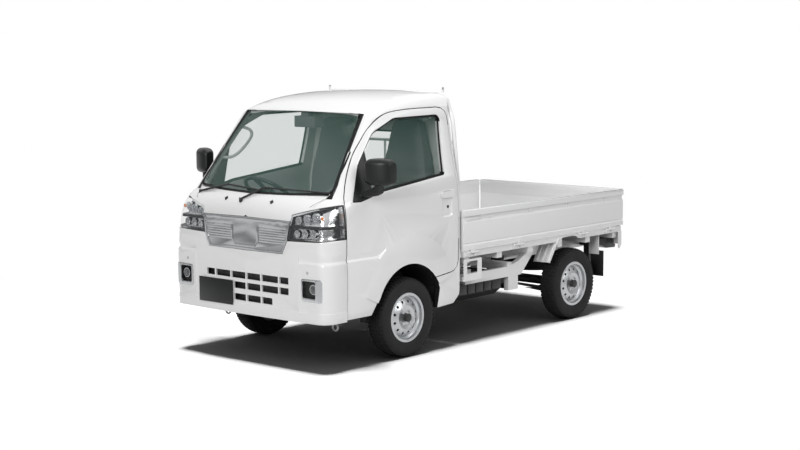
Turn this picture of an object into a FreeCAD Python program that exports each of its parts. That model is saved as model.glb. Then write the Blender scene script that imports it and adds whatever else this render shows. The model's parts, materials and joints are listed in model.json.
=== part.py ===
"""A kei truck: a small cab-over pickup with a drop-side bed, in millimetres.

+X points forward, +Y to the vehicle's left and +Z up. The origin is on the ground,
in the middle of the overall length and width. Every sub-part is its own document
object, and its sizes come from the sheet.
"""
import FreeCAD, Part
import functools
import math
import os
import Sketcher
from FreeCAD import Placement, Rotation, Vector

doc = FreeCAD.newDocument("KeiTruck")
sheet = doc.addObject("Spreadsheet::Sheet", "Sizes")


# Driving dimensions

SIZES = [
    ("overall_length", 3395, "front-most to rear-most point"),
    ("overall_width", 1475, "without the mirrors"),
    ("overall_height", 1780, "to the pegs of the guard frame"),
    ("wheelbase", 1900, "front axle to rear axle"),
    ("front_overhang", 815, "front axle to the front-most point"),
    ("track", 1305, "between the middles of the two tyres of an axle"),
    ("tyre_diameter", 536, "145/80 R12"),
    ("tyre_width", 145, "section width"),
    ("bead_diameter", 305, "where the tyre sits on the rim"),
    ("flange_diameter", 332, "edge of the rim"),
    ("wheel_offset", 40, "middle of the tyre to the mounting face"),
    ("spindle_radius", 27, "centring boss of the hub"),
    ("drum_radius", 112, "brake drum or disc cover"),
    ("kingpin_inset", 62, "tyre middle to the steering axis at hub height"),
    ("kingpin_lean", 9, "inward lean of the steering axis, degrees"),
    ("cab_rear", 1362, "front-most point to the back of the cab"),
    ("plate_thickness", 3, "the blank plate on the bumper, the front-most piece"),
    ("lip_depth", 7, "how far the bumper's lower lip stands out"),
    ("corner_box_depth", 4, "how far the bumper's corners stand out"),
    ("flare_depth", 5.5, "how far the wheel arch's flare stands out"),
    ("body_inset", 7.5, "overall side to the door's skin"),
    ("cowl_setback", 85, "front-most point to the foot of the windscreen"),
    ("sill_height", 327, "bottom edge of the doors"),
    ("cowl_height", 1105, "bottom of the windscreen at its middle"),
    ("screen_top", 1637, "top of the windscreen at its middle"),
    ("screen_rake", 465, "how far the windscreen leans back"),
    ("roof_height", 1754, "middle of the roof at the back"),
    ("shell_wall", 42, "cab wall and door, outer skin to trim"),
    ("roof_wall", 26, "roof sheet and headliner"),
    ("shut_gap", 6, "gap round the doors"),
    ("arch_radius", 335, "front wheel arch"),
    ("arch_height", 295, "middle of the front wheel arch"),
    ("floor_height", 400, "cab floor"),
    ("floor_sheet", 14, "cab floor with its ribs"),
    ("riser_height", 648, "panel under the seats"),
    ("glass_thickness", 5, "side and rear windows"),
    ("bed_floor_height", 650, "top of the bed floor"),
    ("bed_length", 1940, "inside"),
    ("bed_width", 1410, "inside"),
    ("gate_height", 285, "gate tops above the bed floor"),
    ("gate_pivot_drop", 10, "hinge axis below the bed floor"),
    ("hinge_pin_radius", 4.5, "gate hinge pins"),
    ("pin_clearance", 0.3, "between a pin and its eye"),
    ("seat_clearance", 0.3, "between a piece and what carries it"),
    ("rail_spacing", 700, "between the middles of the chassis rails"),
    ("rail_width", 60, "chassis rail"),
    ("rail_height", 95, "chassis rail"),
    ("rail_top", 560, "top of the chassis rails under the bed"),
    ("axle_radius", 34, "rear axle tube"),
    ("steering_wheel_radius", 182, "middle of the rim's section"),
]


class Size:
    """A length that carries its number and the sheet formula it comes from."""

    def __init__(self, number, formula):
        self.number = float(number)
        self.formula = formula

    def __float__(self):
        return self.number

    def __add__(self, other):
        return Size(self.number + float(other), "(%s + %s)" % (self.formula, formula_of(other)))

    def __radd__(self, other):
        return self + other

    def __sub__(self, other):
        return Size(self.number - float(other), "(%s - %s)" % (self.formula, formula_of(other)))

    def __rsub__(self, other):
        return Size(float(other) - self.number, "(%s - %s)" % (formula_of(other), self.formula))

    def __mul__(self, other):
        return Size(self.number * float(other), "(%s * %s)" % (self.formula, formula_of(other)))

    def __rmul__(self, other):
        return self * other

    def __truediv__(self, other):
        return Size(self.number / float(other), "(%s / %s)" % (self.formula, formula_of(other)))

    def __neg__(self):
        return self * -1


def formula_of(value):
    """The text that the sheet's formulas use for a value."""
    if isinstance(value, Size):
        return value.formula
    return "%.6g" % value


def fill_sheet():
    """Write the driving dimensions into the sheet and hand them back by name."""
    for row, (alias, value, note) in enumerate(SIZES, start=1):
        sheet.set("A%d" % row, alias)
        sheet.set("B%d" % row, str(value))
        sheet.setAlias("B%d" % row, alias)
        sheet.set("C%d" % row, note)
    doc.recompute()
    return {alias: Size(sheet.get(alias), "Sizes.%s" % alias) for alias, value, note in SIZES}


S = fill_sheet()


# Places that several pieces share

nose = S["overall_length"] / 2
tail = -nose
half_width = S["overall_width"] / 2
front_axle = nose - S["front_overhang"]
rear_axle = front_axle - S["wheelbase"]
hub_height = S["tyre_diameter"] / 2
tyre_middle = S["track"] / 2
cab_back = nose - S["cab_rear"]
cab_inside_back = cab_back + S["shell_wall"]
arch_x = front_axle - 12
bed_front = cab_back - 38
bed_back = bed_front - S["bed_length"]
bed_half = S["bed_width"] / 2
bed_top = S["bed_floor_height"]
gate_top = bed_top + S["gate_height"]
gate_bottom = bed_top + 10
pivot_height = bed_top - S["gate_pivot_drop"]
pivot_y = half_width - 6.5
rail_y = S["rail_spacing"] / 2
slack = S["seat_clearance"]
front_rail_top = S["floor_height"] - S["floor_sheet"] - slack
front_rail_low = front_rail_top - S["rail_height"]
rail_low = S["rail_top"] - S["rail_height"]
sill_low = bed_top - 44
WALL = float(S["shell_wall"])
DOOR_LINE = float(front_axle) + 600
FIREWALL = DOOR_LINE - 22
SEAM = 1.5
ENGINE_BAY_HALF = 640.0
MIRROR_FOOT_START = 345.0
STEERING_TILT = 38.0
HUB_DEPTH = 28.0
FAR = 2000.0
tail_pivot_x = tail + 14


# Helpers that make document objects

def bind(item, path, value):
    """Tie a property to the sheet."""
    item.setExpression(path, formula_of(value))


def move_to(item, x, y, z):
    """Tie an object's place to the sheet."""
    for axis, value in zip("xyz", (x, y, z)):
        bind(item, "Placement.Base.%s" % axis, value)


def box(x, y, z):
    """A block between pairs of limits along X, Y and Z."""
    item = doc.addObject("Part::Box", "Block")
    bind(item, "Length", x[1] - x[0])
    bind(item, "Width", y[1] - y[0])
    bind(item, "Height", z[1] - z[0])
    move_to(item, x[0], y[0], z[0])
    return item


TURN_FOR_AXIS = {
    "x": Rotation(Vector(0, 1, 0), 90),
    "y": Rotation(Vector(1, 0, 0), -90),
    "z": Rotation(),
}


def rod(axis, span, across, radius):
    """A round bar along an axis; across holds its two other coordinates, in order."""
    item = doc.addObject("Part::Cylinder", "Rod")
    bind(item, "Radius", radius)
    bind(item, "Height", span[1] - span[0])
    item.Placement = Placement(Vector(), TURN_FOR_AXIS[axis])
    if axis == "x":
        move_to(item, span[0], across[0], across[1])
    elif axis == "y":
        move_to(item, across[0], span[0], across[1])
    else:
        move_to(item, across[0], across[1], span[0])
    return item


PLANE_FOR_AXIS = {"x": "YZ_Plane", "y": "XZ_Plane", "z": "XY_Plane"}


def slab(axis, points, span):
    """A closed outline, given by corner points, thickened along an axis over a span."""
    body = doc.addObject("PartDesign::Body", "Slab")
    sketch = body.newObject("Sketcher::SketchObject", "Outline")
    role = PLANE_FOR_AXIS[axis]
    plane = [feature for feature in body.Origin.OriginFeatures if feature.Role == role][0]
    sketch.AttachmentSupport = [(plane, "")]
    sketch.MapMode = "FlatFace"
    count = len(points)
    for index in range(count):
        start = [float(value) for value in points[index]]
        end = [float(value) for value in points[(index + 1) % count]]
        sketch.addGeometry(Part.LineSegment(Vector(*start, 0), Vector(*end, 0)), False)
    for index in range(count):
        sketch.addConstraint(Sketcher.Constraint("Coincident", index, 2, (index + 1) % count, 1))
    for index, point in enumerate(points):
        for kind, value in zip(("DistanceX", "DistanceY"), point):
            number = sketch.addConstraint(
                Sketcher.Constraint(kind, -1, 1, index, 1, float(value)))
            sketch.setExpression("Constraints[%d]" % number, formula_of(value))
    pad = body.newObject("PartDesign::Pad", "Thickness")
    pad.Profile = sketch
    pad.SideType = "Symmetric"
    bind(pad, "Length", span[1] - span[0])
    bind(body, "Placement.Base.%s" % axis, (span[0] + span[1]) / 2)
    return body


def revolved(axis_place, profile):
    """A closed profile of (along Y, radius) points turned about a line along Y."""
    body = doc.addObject("PartDesign::Body", "Turned")
    sketch = body.newObject("Sketcher::SketchObject", "Profile")
    plane = [feature for feature in body.Origin.OriginFeatures if feature.Role == "YZ_Plane"][0]
    sketch.AttachmentSupport = [(plane, "")]
    sketch.MapMode = "FlatFace"
    count = len(profile)
    for index in range(count):
        start = [float(value) for value in profile[index]]
        end = [float(value) for value in profile[(index + 1) % count]]
        sketch.addGeometry(Part.LineSegment(Vector(*start, 0), Vector(*end, 0)), False)
    for index in range(count):
        sketch.addConstraint(Sketcher.Constraint("Coincident", index, 2, (index + 1) % count, 1))
    for index, point in enumerate(profile):
        for kind, value in zip(("DistanceX", "DistanceY"), point):
            number = sketch.addConstraint(
                Sketcher.Constraint(kind, -1, 1, index, 1, float(value)))
            sketch.setExpression("Constraints[%d]" % number, formula_of(value))
    turn = body.newObject("PartDesign::Revolution", "Turn")
    turn.Profile = sketch
    turn.ReferenceAxis = (sketch, ["H_Axis"])
    turn.Angle = 360
    move_to(body, axis_place[0], axis_place[1], axis_place[2])
    return body


def fuse(*items):
    """One solid from touching pieces."""
    item = doc.addObject("Part::MultiFuse", "Joined")
    item.Shapes = list(items)
    return item


def cut(base, *tools):
    """A piece with others taken away from it."""
    for tool in tools:
        item = doc.addObject("Part::Cut", "Trimmed")
        item.Base = base
        item.Tool = tool
        base = item
    return base


def mirrored(base):
    """The same piece on the other side of the middle plane."""
    item = doc.addObject("Part::Mirroring", "Mirrored")
    item.Source = base
    item.Normal = Vector(0, 1, 0)
    return item


def compound(*items):
    """Separate solids that share a node."""
    item = doc.addObject("Part::Compound", "Set")
    item.Links = list(items)
    return item


def shaped(shape):
    """A document object that holds a curved shape."""
    item = doc.addObject("Part::Feature", "Shape")
    item.Shape = shape
    return item


NODES = {}


def node(name, item):
    """Name a sub-part; the name is its file's too."""
    item.Label = name
    NODES[name] = item
    return item


def side_name(stem, side):
    """Names end in left for +Y and right for -Y."""
    return "%s_%s" % (stem, "left" if side > 0 else "right")


def span_on(side, low, high):
    """Limits on one side of the middle plane, in rising order."""
    return (low, high) if side > 0 else (-high, -low)


# Cab surfaces

class Level:
    """One horizontal outline of the cab, from its nose round both shoulders to the sides."""

    def __init__(self, height, setback, sag, shoulder, side_start, side_inset):
        self.height = float(height)
        self.nose = float(nose) - setback
        self.shoulder_x = self.nose - sag
        self.shoulder_y = shoulder
        self.side_x = side_start
        self.side_y = float(half_width) - side_inset


def plan_wire(level, inset):
    """The outline of a level, drawn in by inset all round."""
    tip = level.nose - inset
    shoulder = Vector(level.shoulder_x - inset, level.shoulder_y - 0.5 * inset, level.height)
    side = level.side_y - inset
    back = float(cab_back) + max(inset, 0)
    corner = 30.0 if inset <= 0 else 12.0
    sag = tip - shoulder.x
    arc_radius = (shoulder.y ** 2 + sag ** 2) / (2 * sag)
    slope = shoulder.y / (arc_radius - sag)
    knee = Vector(shoulder.x - slope * (side - shoulder.y), side, level.height)
    side_start = Vector(min(level.side_x, knee.x - 20), side, level.height)
    side_end = Vector(back + corner, side, level.height)
    back_start = Vector(back, side - corner, level.height)
    bend = Vector(back + corner * (1 - math.sqrt(0.5)), side - corner * (1 - math.sqrt(0.5)),
                  level.height)
    left = (shoulder, knee, side_start, side_end, bend, back_start)
    right = [across(point) for point in left]
    edges = [
        Part.Arc(right[0], Vector(tip, 0, level.height), shoulder).toShape(),
        curve_edge([shoulder, knee, side_start]),
        Part.LineSegment(side_start, side_end).toShape(),
        Part.Arc(side_end, bend, back_start).toShape(),
        Part.LineSegment(back_start, right[5]).toShape(),
        Part.Arc(right[5], right[4], right[3]).toShape(),
        Part.LineSegment(right[3], right[2]).toShape(),
        curve_edge([right[2], right[1], right[0]]),
    ]
    return Part.Wire(edges)


def across(point):
    """The same point on the other side of the middle plane."""
    return Vector(point.x, -point.y, point.z)


def curve_edge(poles):
    """A smooth edge that starts and ends along its poles."""
    curve = Part.BezierCurve()
    curve.setPoles(poles)
    return curve.toShape()


SHOULDER_Y = 640.0
SCREEN_FOOT_SAG = 93.0


def lower_level(height):
    """The outline at a height between the sill and the foot of the windscreen."""
    bottom = float(S["sill_height"]) - 30
    share = (height - bottom) / (float(S["cowl_height"]) - bottom)
    tuck = max(0.0, 1 - share) ** 6
    crest = max(0.0, share) ** 15
    upright = float(S["plate_thickness"] + S["lip_depth"])
    return Level(
        height,
        upright + 6 * tuck + (float(S["cowl_setback"]) - upright) * crest,
        14 + (SCREEN_FOOT_SAG - 14) * max(0.0, share) ** 8,
        SHOULDER_Y,
        float(front_axle) + 667 - 350 * max(0.0, share) ** 4,
        float(S["body_inset"]) + 8 * tuck + 4.5 * max(0.0, share) ** 5)


def lower_levels():
    """Outlines from the sill to the foot of the windscreen."""
    bottom = float(S["sill_height"]) - 30
    rise = float(S["cowl_height"]) - bottom
    steps = 12
    return [lower_level(bottom + rise * index / steps) for index in range(steps + 1)]


def upper_levels():
    """Outlines up the windscreen, and on past the roof at the same rake."""
    rise = float(S["screen_top"]) - float(S["cowl_height"])
    lean = float(S["screen_rake"])
    foot = float(S["cowl_setback"])
    levels = []
    for step in range(6):
        share = 0.26 * step
        narrow = share * (1.32 - 0.32 * share)
        sag = 12 + (SCREEN_FOOT_SAG - 12) * (1 - share / 1.6) ** 1.5
        setback = foot + share * lean
        run = 320 - 160 * min(share, 1.0)
        levels.append(Level(
            float(S["cowl_height"]) + share * rise,
            setback,
            sag,
            SHOULDER_Y - 84 * share,
            float(nose) - setback - sag - run,
            float(S["body_inset"]) + 4.5 + 100 * narrow))
    return levels


def lofted(levels, inset):
    """The solid between outlines, drawn in by inset."""
    return Part.makeLoft([plan_wire(level, inset) for level in levels], True, False)


@functools.cache
def nose_block(inset):
    """The closed form from the sill to the foot of the windscreen, drawn in by inset."""
    levels = lower_levels()
    if inset > 0:
        levels[0].height -= 40
    return lofted(levels, inset)


def screen_block(inset):
    """The closed form above the foot of the windscreen, before the roof closes it."""
    return lofted(upper_levels(), inset)


@functools.cache
def nose_layer(outer, inner):
    """The part of the lower cab between two depths under its skin."""
    return nose_block(outer).cut(nose_block(inner))


@functools.cache
def screen_layer(outer, inner):
    """The part of the upper cab between two depths under its skin."""
    return screen_block(outer).cut(screen_block(inner))


def roof_wire(x, drop, inset):
    """An upright outline across the cab whose top is the roof."""
    top = float(S["roof_height"]) - drop - inset
    edge_y = float(half_width) - 190 - inset * 0.5
    edge_z = top - 17
    eave_y = float(half_width) - 116 - inset
    eave_z = top - 98
    flare = Vector(x, eave_y + 105, eave_z - 150)
    foot = Vector(x, eave_y + 105, 100)
    crown = [Vector(x, edge_y, edge_z), Vector(x, edge_y + 52, edge_z - 8),
             Vector(x, eave_y, eave_z)]
    edges = [
        Part.Arc(across(crown[0]), Vector(x, 0, top), crown[0]).toShape(),
        curve_edge(crown),
        Part.LineSegment(crown[2], flare).toShape(),
        Part.LineSegment(flare, foot).toShape(),
        Part.LineSegment(foot, across(foot)).toShape(),
        Part.LineSegment(across(foot), across(flare)).toShape(),
        Part.LineSegment(across(flare), across(crown[2])).toShape(),
        curve_edge([across(crown[2]), across(crown[1]), across(crown[0])]),
    ]
    return Part.Wire(edges)


def roof_block(inset):
    """Everything under the roof's surface, over the whole cab."""
    back = float(cab_back)
    screen = float(nose) - float(S["cowl_setback"]) - float(S["screen_rake"])
    top_drop = float(S["roof_height"]) - float(S["screen_top"])
    length = screen - back
    stations = [
        (back - 60, 0),
        (back + 0.3 * length, 6),
        (back + 0.6 * length, 30),
        (back + 0.85 * length, 72),
        (screen, top_drop),
        (screen + 200, top_drop + 115),
        (screen + 480, top_drop + 330),
    ]
    wires = [roof_wire(x, drop, inset) for x, drop in stations]
    return Part.makeLoft(wires, True, False)


def cab_solid(inset, roof_inset):
    """The cab's closed form, drawn in by inset at the walls and roof_inset at the roof."""
    return nose_block(inset).fuse(screen_block(inset).common(roof_block(roof_inset)))


def prism_y(edges, low, high):
    """A closed outline in the X-Z plane, thickened along Y."""
    face = Part.Face(Part.Wire(Part.__sortEdges__(edges)))
    face.translate(Vector(0, low - face.BoundBox.YMin, 0))
    return face.extrude(Vector(0, high - low, 0))


def prism_x(edges, low, high):
    """A closed outline in the Y-Z plane, thickened along X."""
    face = Part.Face(Part.Wire(Part.__sortEdges__(edges)))
    face.translate(Vector(low - face.BoundBox.XMin, 0, 0))
    return face.extrude(Vector(high - low, 0, 0))


def polyline(points):
    """Straight edges through points, without closing them."""
    return [Part.LineSegment(a, b).toShape() for a, b in zip(points, points[1:])]


def spline(points):
    """One smooth edge through points."""
    curve = Part.BSplineCurve()
    curve.interpolate(points)
    return curve.toShape()


def rounded(points, radii):
    """A closed outline through corner points with an arc at each corner that has a radius."""
    count = len(points)
    edges = []
    starts = []
    ends = []
    for index in range(count):
        here = points[index]
        before = (points[index - 1] - here).normalize()
        after = (points[(index + 1) % count] - here).normalize()
        radius = radii[index]
        half = before.getAngle(after) / 2
        reach = radius / math.tan(half)
        first = here + before * reach
        last = here + after * reach
        if radius > 0:
            middle = (before + after).normalize()
            centre = here + middle * (radius / math.sin(half))
            edges.append(Part.Arc(first, centre - middle * radius, last).toShape())
        starts.append(first)
        ends.append(last)
    for index in range(count):
        a = ends[index]
        b = starts[(index + 1) % count]
        if (b - a).Length > 0.01:
            edges.append(Part.LineSegment(a, b).toShape())
    return edges


# Outlines on the cab, drawn on the side (X, Z) and on the front (Y, Z)

def side_point(x, z):
    """A point on the side view; x is counted from the front axle."""
    return Vector(float(front_axle) + x, 0, z)


def door_outline(gap):
    """The edge of a door, drawn in by gap."""
    sill = float(S["sill_height"]) + gap
    pillar = [side_point(597 - gap, 1073), side_point(543 - gap, 1195), side_point(471 - gap, 1313),
              side_point(404 - gap, 1402), side_point(339 - gap, 1474), side_point(283 - gap, 1532),
              side_point(205 - gap, 1588 - gap), side_point(110, 1626 - gap),
              side_point(-40, 1648 - gap), side_point(-200, 1654 - gap), side_point(-400, 1656 - gap)]
    rest = [pillar[-1], side_point(-447, 1650 - gap), side_point(-490 + gap, 1625),
            side_point(-508 + gap, 1590), side_point(-514 + gap, 1527), side_point(-519 + gap, 753),
            side_point(-514 + gap, 600), side_point(-498 + gap, 558), side_point(-462, 530 + gap),
            side_point(-287, 510 + gap), side_point(-150, 505 + gap), side_point(-100, sill),
            side_point(606 - gap, sill), side_point(604 - gap, 372), side_point(600 - gap, 485),
            side_point(600 - gap, 600), side_point(602 - gap, 743), pillar[0]]
    return [spline(pillar)] + polyline(rest)


def arch_outline(grow):
    """The front wheel's opening, from below the sill over the wheel."""
    radius = float(S["arch_radius"]) + grow
    middle = Vector(float(arch_x), 0, float(S["arch_height"]))

    def at(angle):
        turn = math.radians(angle)
        return middle + Vector(radius * math.cos(turn), 0, radius * math.sin(turn))

    front_foot = side_point(396 + grow, 296)
    back_foot = side_point(-294 - grow, 290)
    low_front = Vector(front_foot.x, 0, 100)
    low_back = Vector(back_foot.x, 0, 100)
    return [Part.Arc(at(25), at(90), at(156)).toShape()] + polyline(
        [at(156), back_foot, low_back, low_front, front_foot, at(25)])


def underside_outline():
    """What is cut away below the cab's lower edge."""
    sill = float(S["sill_height"])
    return polyline([
        side_point(830, sill - 6), side_point(300, sill - 2), side_point(300, 299),
        side_point(-300, 298), side_point(-464, 308), side_point(-523, 361),
        side_point(-549, 430), side_point(-620, 430), side_point(-620, 100),
        side_point(830, 100), side_point(830, sill - 6)])


def window_outline(gap):
    """The opening in a door for its glass and the mirror's foot."""
    points = [side_point(-399 + gap, 1196 + gap), side_point(-432 + gap, 1604 - gap),
              side_point(40, 1598 - gap), side_point(250, 1512 - gap),
              side_point(420 - gap, 1310), side_point(528 - gap, 1080 + gap),
              side_point(455, 1078 + gap), side_point(252, 1127 + gap)]
    radii = [22, 45, 130, 170, 200, 6, 20, 60]
    return rounded(points, radii)


def front_point(y, z):
    """A point on the front view."""
    return Vector(0, y, z)


def mirrored_outline(half):
    """A closed front view from the points of its left half, first on the middle plane."""
    other = [Vector(0, -point.y, point.z) for point in reversed(half) if abs(point.y) > 0.01]
    return polyline(half + other + [half[0]])


def screen_outline(gap):
    """The windscreen's edge, drawn in by gap."""
    low = float(S["cowl_height"]) + 7 + gap
    high = float(S["screen_top"]) - gap
    points = [front_point(0, low), front_point(330, low + 5), front_point(634 - gap, low + 20),
              front_point(542 - gap, high - 8), front_point(0, high),
              front_point(-542 + gap, high - 8), front_point(-634 + gap, low + 20),
              front_point(-330, low + 5)]
    radii = [0, 400, 38, 42, 0, 42, 38, 400]
    return rounded(points, radii)


def lamp_corner(gap):
    """The headlight's outline on the left side."""
    return [front_point(392 + gap, 838 + gap), front_point(419 + gap, 1003 - gap),
            front_point(600, 1051 - gap), front_point(760, 1084 - gap),
            front_point(760, 858 + gap), front_point(660, 847 + gap)]


def bumper_top(gap):
    """The bumper's upper edge from the middle plane outwards."""
    return [front_point(0, 748 - gap), front_point(350, 750 - gap), front_point(392 + gap, 836 - gap),
            front_point(660, 845 - gap), front_point(760, 856 - gap)]


def grille_edge(gap):
    """The grille's outline on the left half."""
    return [front_point(0, 748 + gap), front_point(348 - gap, 750 + gap), front_point(391 - gap, 838),
            front_point(412 - gap, 962 - gap), front_point(0, 968 - gap)]


def panel_edge(gap):
    """The front panel's outline on the left half, above the grille."""
    cowl = float(S["cowl_height"]) + 5
    return [front_point(0, 968 + gap), front_point(412, 962 + gap), front_point(419, 1003 + gap),
            front_point(560 - gap, 1040 + gap), front_point(562 - gap, 1052),
            front_point(602 - gap, cowl + 12), front_point(0, cowl)]


# Cab pieces

def both_sides(shape):
    """A shape and its twin across the middle plane."""
    return shape.fuse(shape.mirror(Vector(), Vector(0, 1, 0)))


def largest(shape):
    """The biggest solid of a shape, without the slivers that trimming can leave."""
    return max(shape.Solids, key=lambda solid: solid.Volume)


def flare_outline(shrink):
    """The wheel arch's raised edge on the side view; it fades out in a point at both feet."""
    middle = Vector(float(arch_x), 0, float(S["arch_height"]))
    reach = float(S["arch_radius"])
    line = []
    for angle, distance in zip((20, 42, 59, 74, 90, 104, 118, 130, 142, 153),
                               (125, 165, 184, 192, 197, 198, 197, 191, 176, 148)):
        turn = math.radians(angle)
        length = reach + distance - shrink
        line.append(middle + Vector(length * math.cos(turn), 0, length * math.sin(turn)))
    foot = [middle + Vector(-reach + 60, 0, 160), middle + Vector(reach - 60, 0, 90)]
    return [spline(line)] + polyline([line[-1]] + foot + [line[0]])


def flare():
    """The raised skin round the left wheel arch, with a bevelled outer edge."""
    skin = float(half_width) - float(S["body_inset"])
    rim = skin + float(S["flare_depth"])
    wires = []
    for y, shrink in ((skin - 6, -14), (rim, 13)):
        wire = Part.Wire(Part.__sortEdges__(flare_outline(shrink)))
        wire.translate(Vector(0, y, 0))
        wires.append(wire)
    return Part.makeLoft(wires, True, True)


def ledge_groove():
    """The shallow valley from above the bumper's corner boxes to the wheel arches."""
    depth = 8.0
    rise = 2.5
    top = 764.0
    valley = 716.0
    bottom = 698.0
    core = Part.makeLoft([
        plan_wire(lower_level(bottom), -rise), plan_wire(lower_level(valley), depth),
        plan_wire(lower_level(top), -rise)], True, True)
    ring = Part.makeBox(2 * FAR, 2 * FAR, top - bottom - 1, Vector(-FAR, -FAR, bottom + 0.5))
    middle = Part.makeBox(FAR, 2 * CORNER_BOX_Y, 2 * FAR, Vector(DOOR_LINE, -CORNER_BOX_Y, -FAR))
    arch = prism_y(flare_outline(0), -FAR, FAR)
    behind = Part.makeBox(FAR, 2 * FAR, 2 * FAR, Vector(float(arch_x) - FAR, -FAR, -FAR))
    return ring.cut([core, middle, arch, behind])


CORNER_BOX_Y = 492.0
CORNER_BOX_TOP = 698.0
LIP_TOP = 389.0
cab_inner = cab_solid(WALL, float(S["roof_wall"]))
cab_outer = cab_solid(0, 0)
underside = prism_y(underside_outline(), -800, 800)
arches = prism_y(arch_outline(0), -800, 800)
cab_skin = cab_outer.fuse(both_sides(flare())).cut(ledge_groove())
cab_wall = cab_skin.cut([cab_inner, underside, arches])
screen_hole = prism_x(screen_outline(0), DOOR_LINE - 380, float(nose) + 60)


def front_prism(edges):
    """A front-view outline thickened over everything ahead of the doors."""
    return prism_x(edges, DOOR_LINE, float(nose) + 60)


def door_zone(gap):
    """The space that a door takes on the left: the side wall only, not the wall behind."""
    zone = prism_y(door_outline(gap), 300, 800)
    inside = cab_inner.copy()
    inside.translate(Vector(-WALL, 0, 0))
    return zone.cut(inside)


def cab_shell():
    """Roof, pillars, back wall, wings under the pillars and the sills behind the wheels."""
    doors = both_sides(door_zone(0))
    nose_hole = front_prism(mirrored_outline([
        front_point(0, 100), front_point(800, 100), front_point(800, 1092), front_point(760, 1084),
        front_point(600, 1051), front_point(561, 1041), front_point(563, 1052),
        front_point(604, float(S["cowl_height"]) + 13), front_point(604, float(S["cowl_height"]) + 32),
        front_point(0, float(S["cowl_height"]) + 32)]))
    back_window = prism_x(back_window_outline(0), float(cab_back) - 20, float(cab_back) + 80)
    engine_bay = Part.makeBox(120, 2 * ENGINE_BAY_HALF, 500, Vector(
        float(cab_back) - 30, -ENGINE_BAY_HALF, float(S["riser_height"]) - 20 - 500))
    shape = cab_wall.cut([doors, nose_hole, screen_hole, back_window, engine_bay])
    return node("cab_shell", shaped(largest(shape)))


def back_window_outline(gap):
    """The window in the back wall."""
    half = 470 - gap
    points = [front_point(half, 1085 + gap), front_point(half - 25, 1475 - gap),
              front_point(-half + 25, 1475 - gap), front_point(-half, 1085 + gap)]
    return rounded(points, [50, 50, 50, 50])


def windscreen():
    """The curved windscreen, flush with the cab's skin."""
    outline = prism_x(screen_outline(float(slack)), DOOR_LINE - 380, float(nose) + 60)
    pane = screen_layer(0, 9).common(outline)
    return node("windscreen", shaped(largest(pane)))


def back_window():
    """The flat pane in the back wall."""
    low = float(cab_back) + 14
    return node("rear_window", shaped(prism_x(back_window_outline(float(slack)), low, low + 5)))


def on_side(shape, side):
    """A left-hand shape, or its twin on the right."""
    if side > 0:
        return shape
    return shape.mirror(Vector(), Vector(0, 1, 0))


def doors():
    """Two doors as thick as their real shells, with windows and recessed handles."""
    leaf = cab_wall.common(door_zone(float(S["shut_gap"])))
    leaf = largest(leaf.cut(prism_y(window_outline(0), 300, 800)))
    leaf = largest(leaf.cut(handle_recess())).fuse(handle_grip()).removeSplitter()
    for side in (1, -1):
        node(side_name("door", side), shaped(on_side(leaf, side)))


def handle_outline(grow):
    """The dish behind the left door's handle, on the side view."""
    back = -458 - grow
    front = -338 + grow
    low = 906 - grow
    high = 1094 + grow
    return rounded([side_point(back, low), side_point(front, low), side_point(front, high),
                    side_point(back, high)], [24, 24, 24, 24])


def handle_recess():
    """A dished pocket in the door's skin with sloping walls."""
    skin = float(half_width) - float(S["body_inset"])
    wires = []
    for y, grow in ((skin - 10, -12), (skin + 2, 0)):
        wire = Part.Wire(Part.__sortEdges__(handle_outline(grow)))
        wire.translate(Vector(0, y, 0))
        wires.append(wire)
    return Part.makeLoft(wires, True, True)


def handle_grip():
    """The bar across the top of the dish."""
    skin = float(half_width) - float(S["body_inset"])
    outline = rounded([side_point(-470, 1040), side_point(-330, 1040), side_point(-330, 1084),
                       side_point(-470, 1084)], [16, 16, 16, 16])
    bar = prism_y(outline, skin - 2, skin + 6)
    feet = [Part.makeBox(22, 14, 30, Vector(float(front_axle) + x, skin - 14, 1047))
            for x in (-462, -362)]
    return bar.fuse(feet)


def door_windows():
    """The panes behind the mirrors' feet, standing in the doors' openings."""
    depth = 16.0
    pane = screen_layer(depth, depth + float(S["glass_thickness"]))
    pane = pane.common(prism_y(window_outline(float(slack)), 300, 800))
    front_edge = float(front_axle) + MIRROR_FOOT_START
    pane = pane.common(Part.makeBox(FAR, FAR, FAR, Vector(front_edge - FAR - float(slack), 0, 0)))
    for side in (1, -1):
        node(side_name("glass", side), shaped(on_side(largest(pane), side)))


def door_mirrors():
    """On each door the black foot in the window's front corner, the arm and the housing."""
    foot = screen_layer(2, 24).fuse(nose_layer(2, 24))
    foot = foot.common(prism_y(window_outline(float(slack)), 300, 800))
    front_edge = float(front_axle) + MIRROR_FOOT_START
    foot = largest(foot.common(Part.makeBox(FAR, FAR, FAR, Vector(front_edge, 0, 0))))
    arm_x = float(front_axle) + 415
    arm = Part.makeLoft([
        mirror_section(arm_x, 690, 1122, 74, 44), mirror_section(arm_x - 8, 745, 1130, 66, 38),
        mirror_section(arm_x - 18, 800, 1150, 60, 66), mirror_section(arm_x - 26, 838, 1180, 56, 90)],
        True, False)
    housing = Part.makeLoft([
        mirror_section(arm_x + 8, 750, 1274, 58, 120), mirror_section(arm_x + 2, 774, 1274, 96, 160),
        mirror_section(arm_x - 18, 835, 1274, 116, 174), mirror_section(arm_x - 40, 892, 1272, 100, 166),
        mirror_section(arm_x - 52, 920, 1268, 62, 128)], True, False)
    shape = foot.fuse([arm, housing]).removeSplitter()
    for side in (1, -1):
        node(side_name("mirror", side), shaped(on_side(shape, side)))


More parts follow.
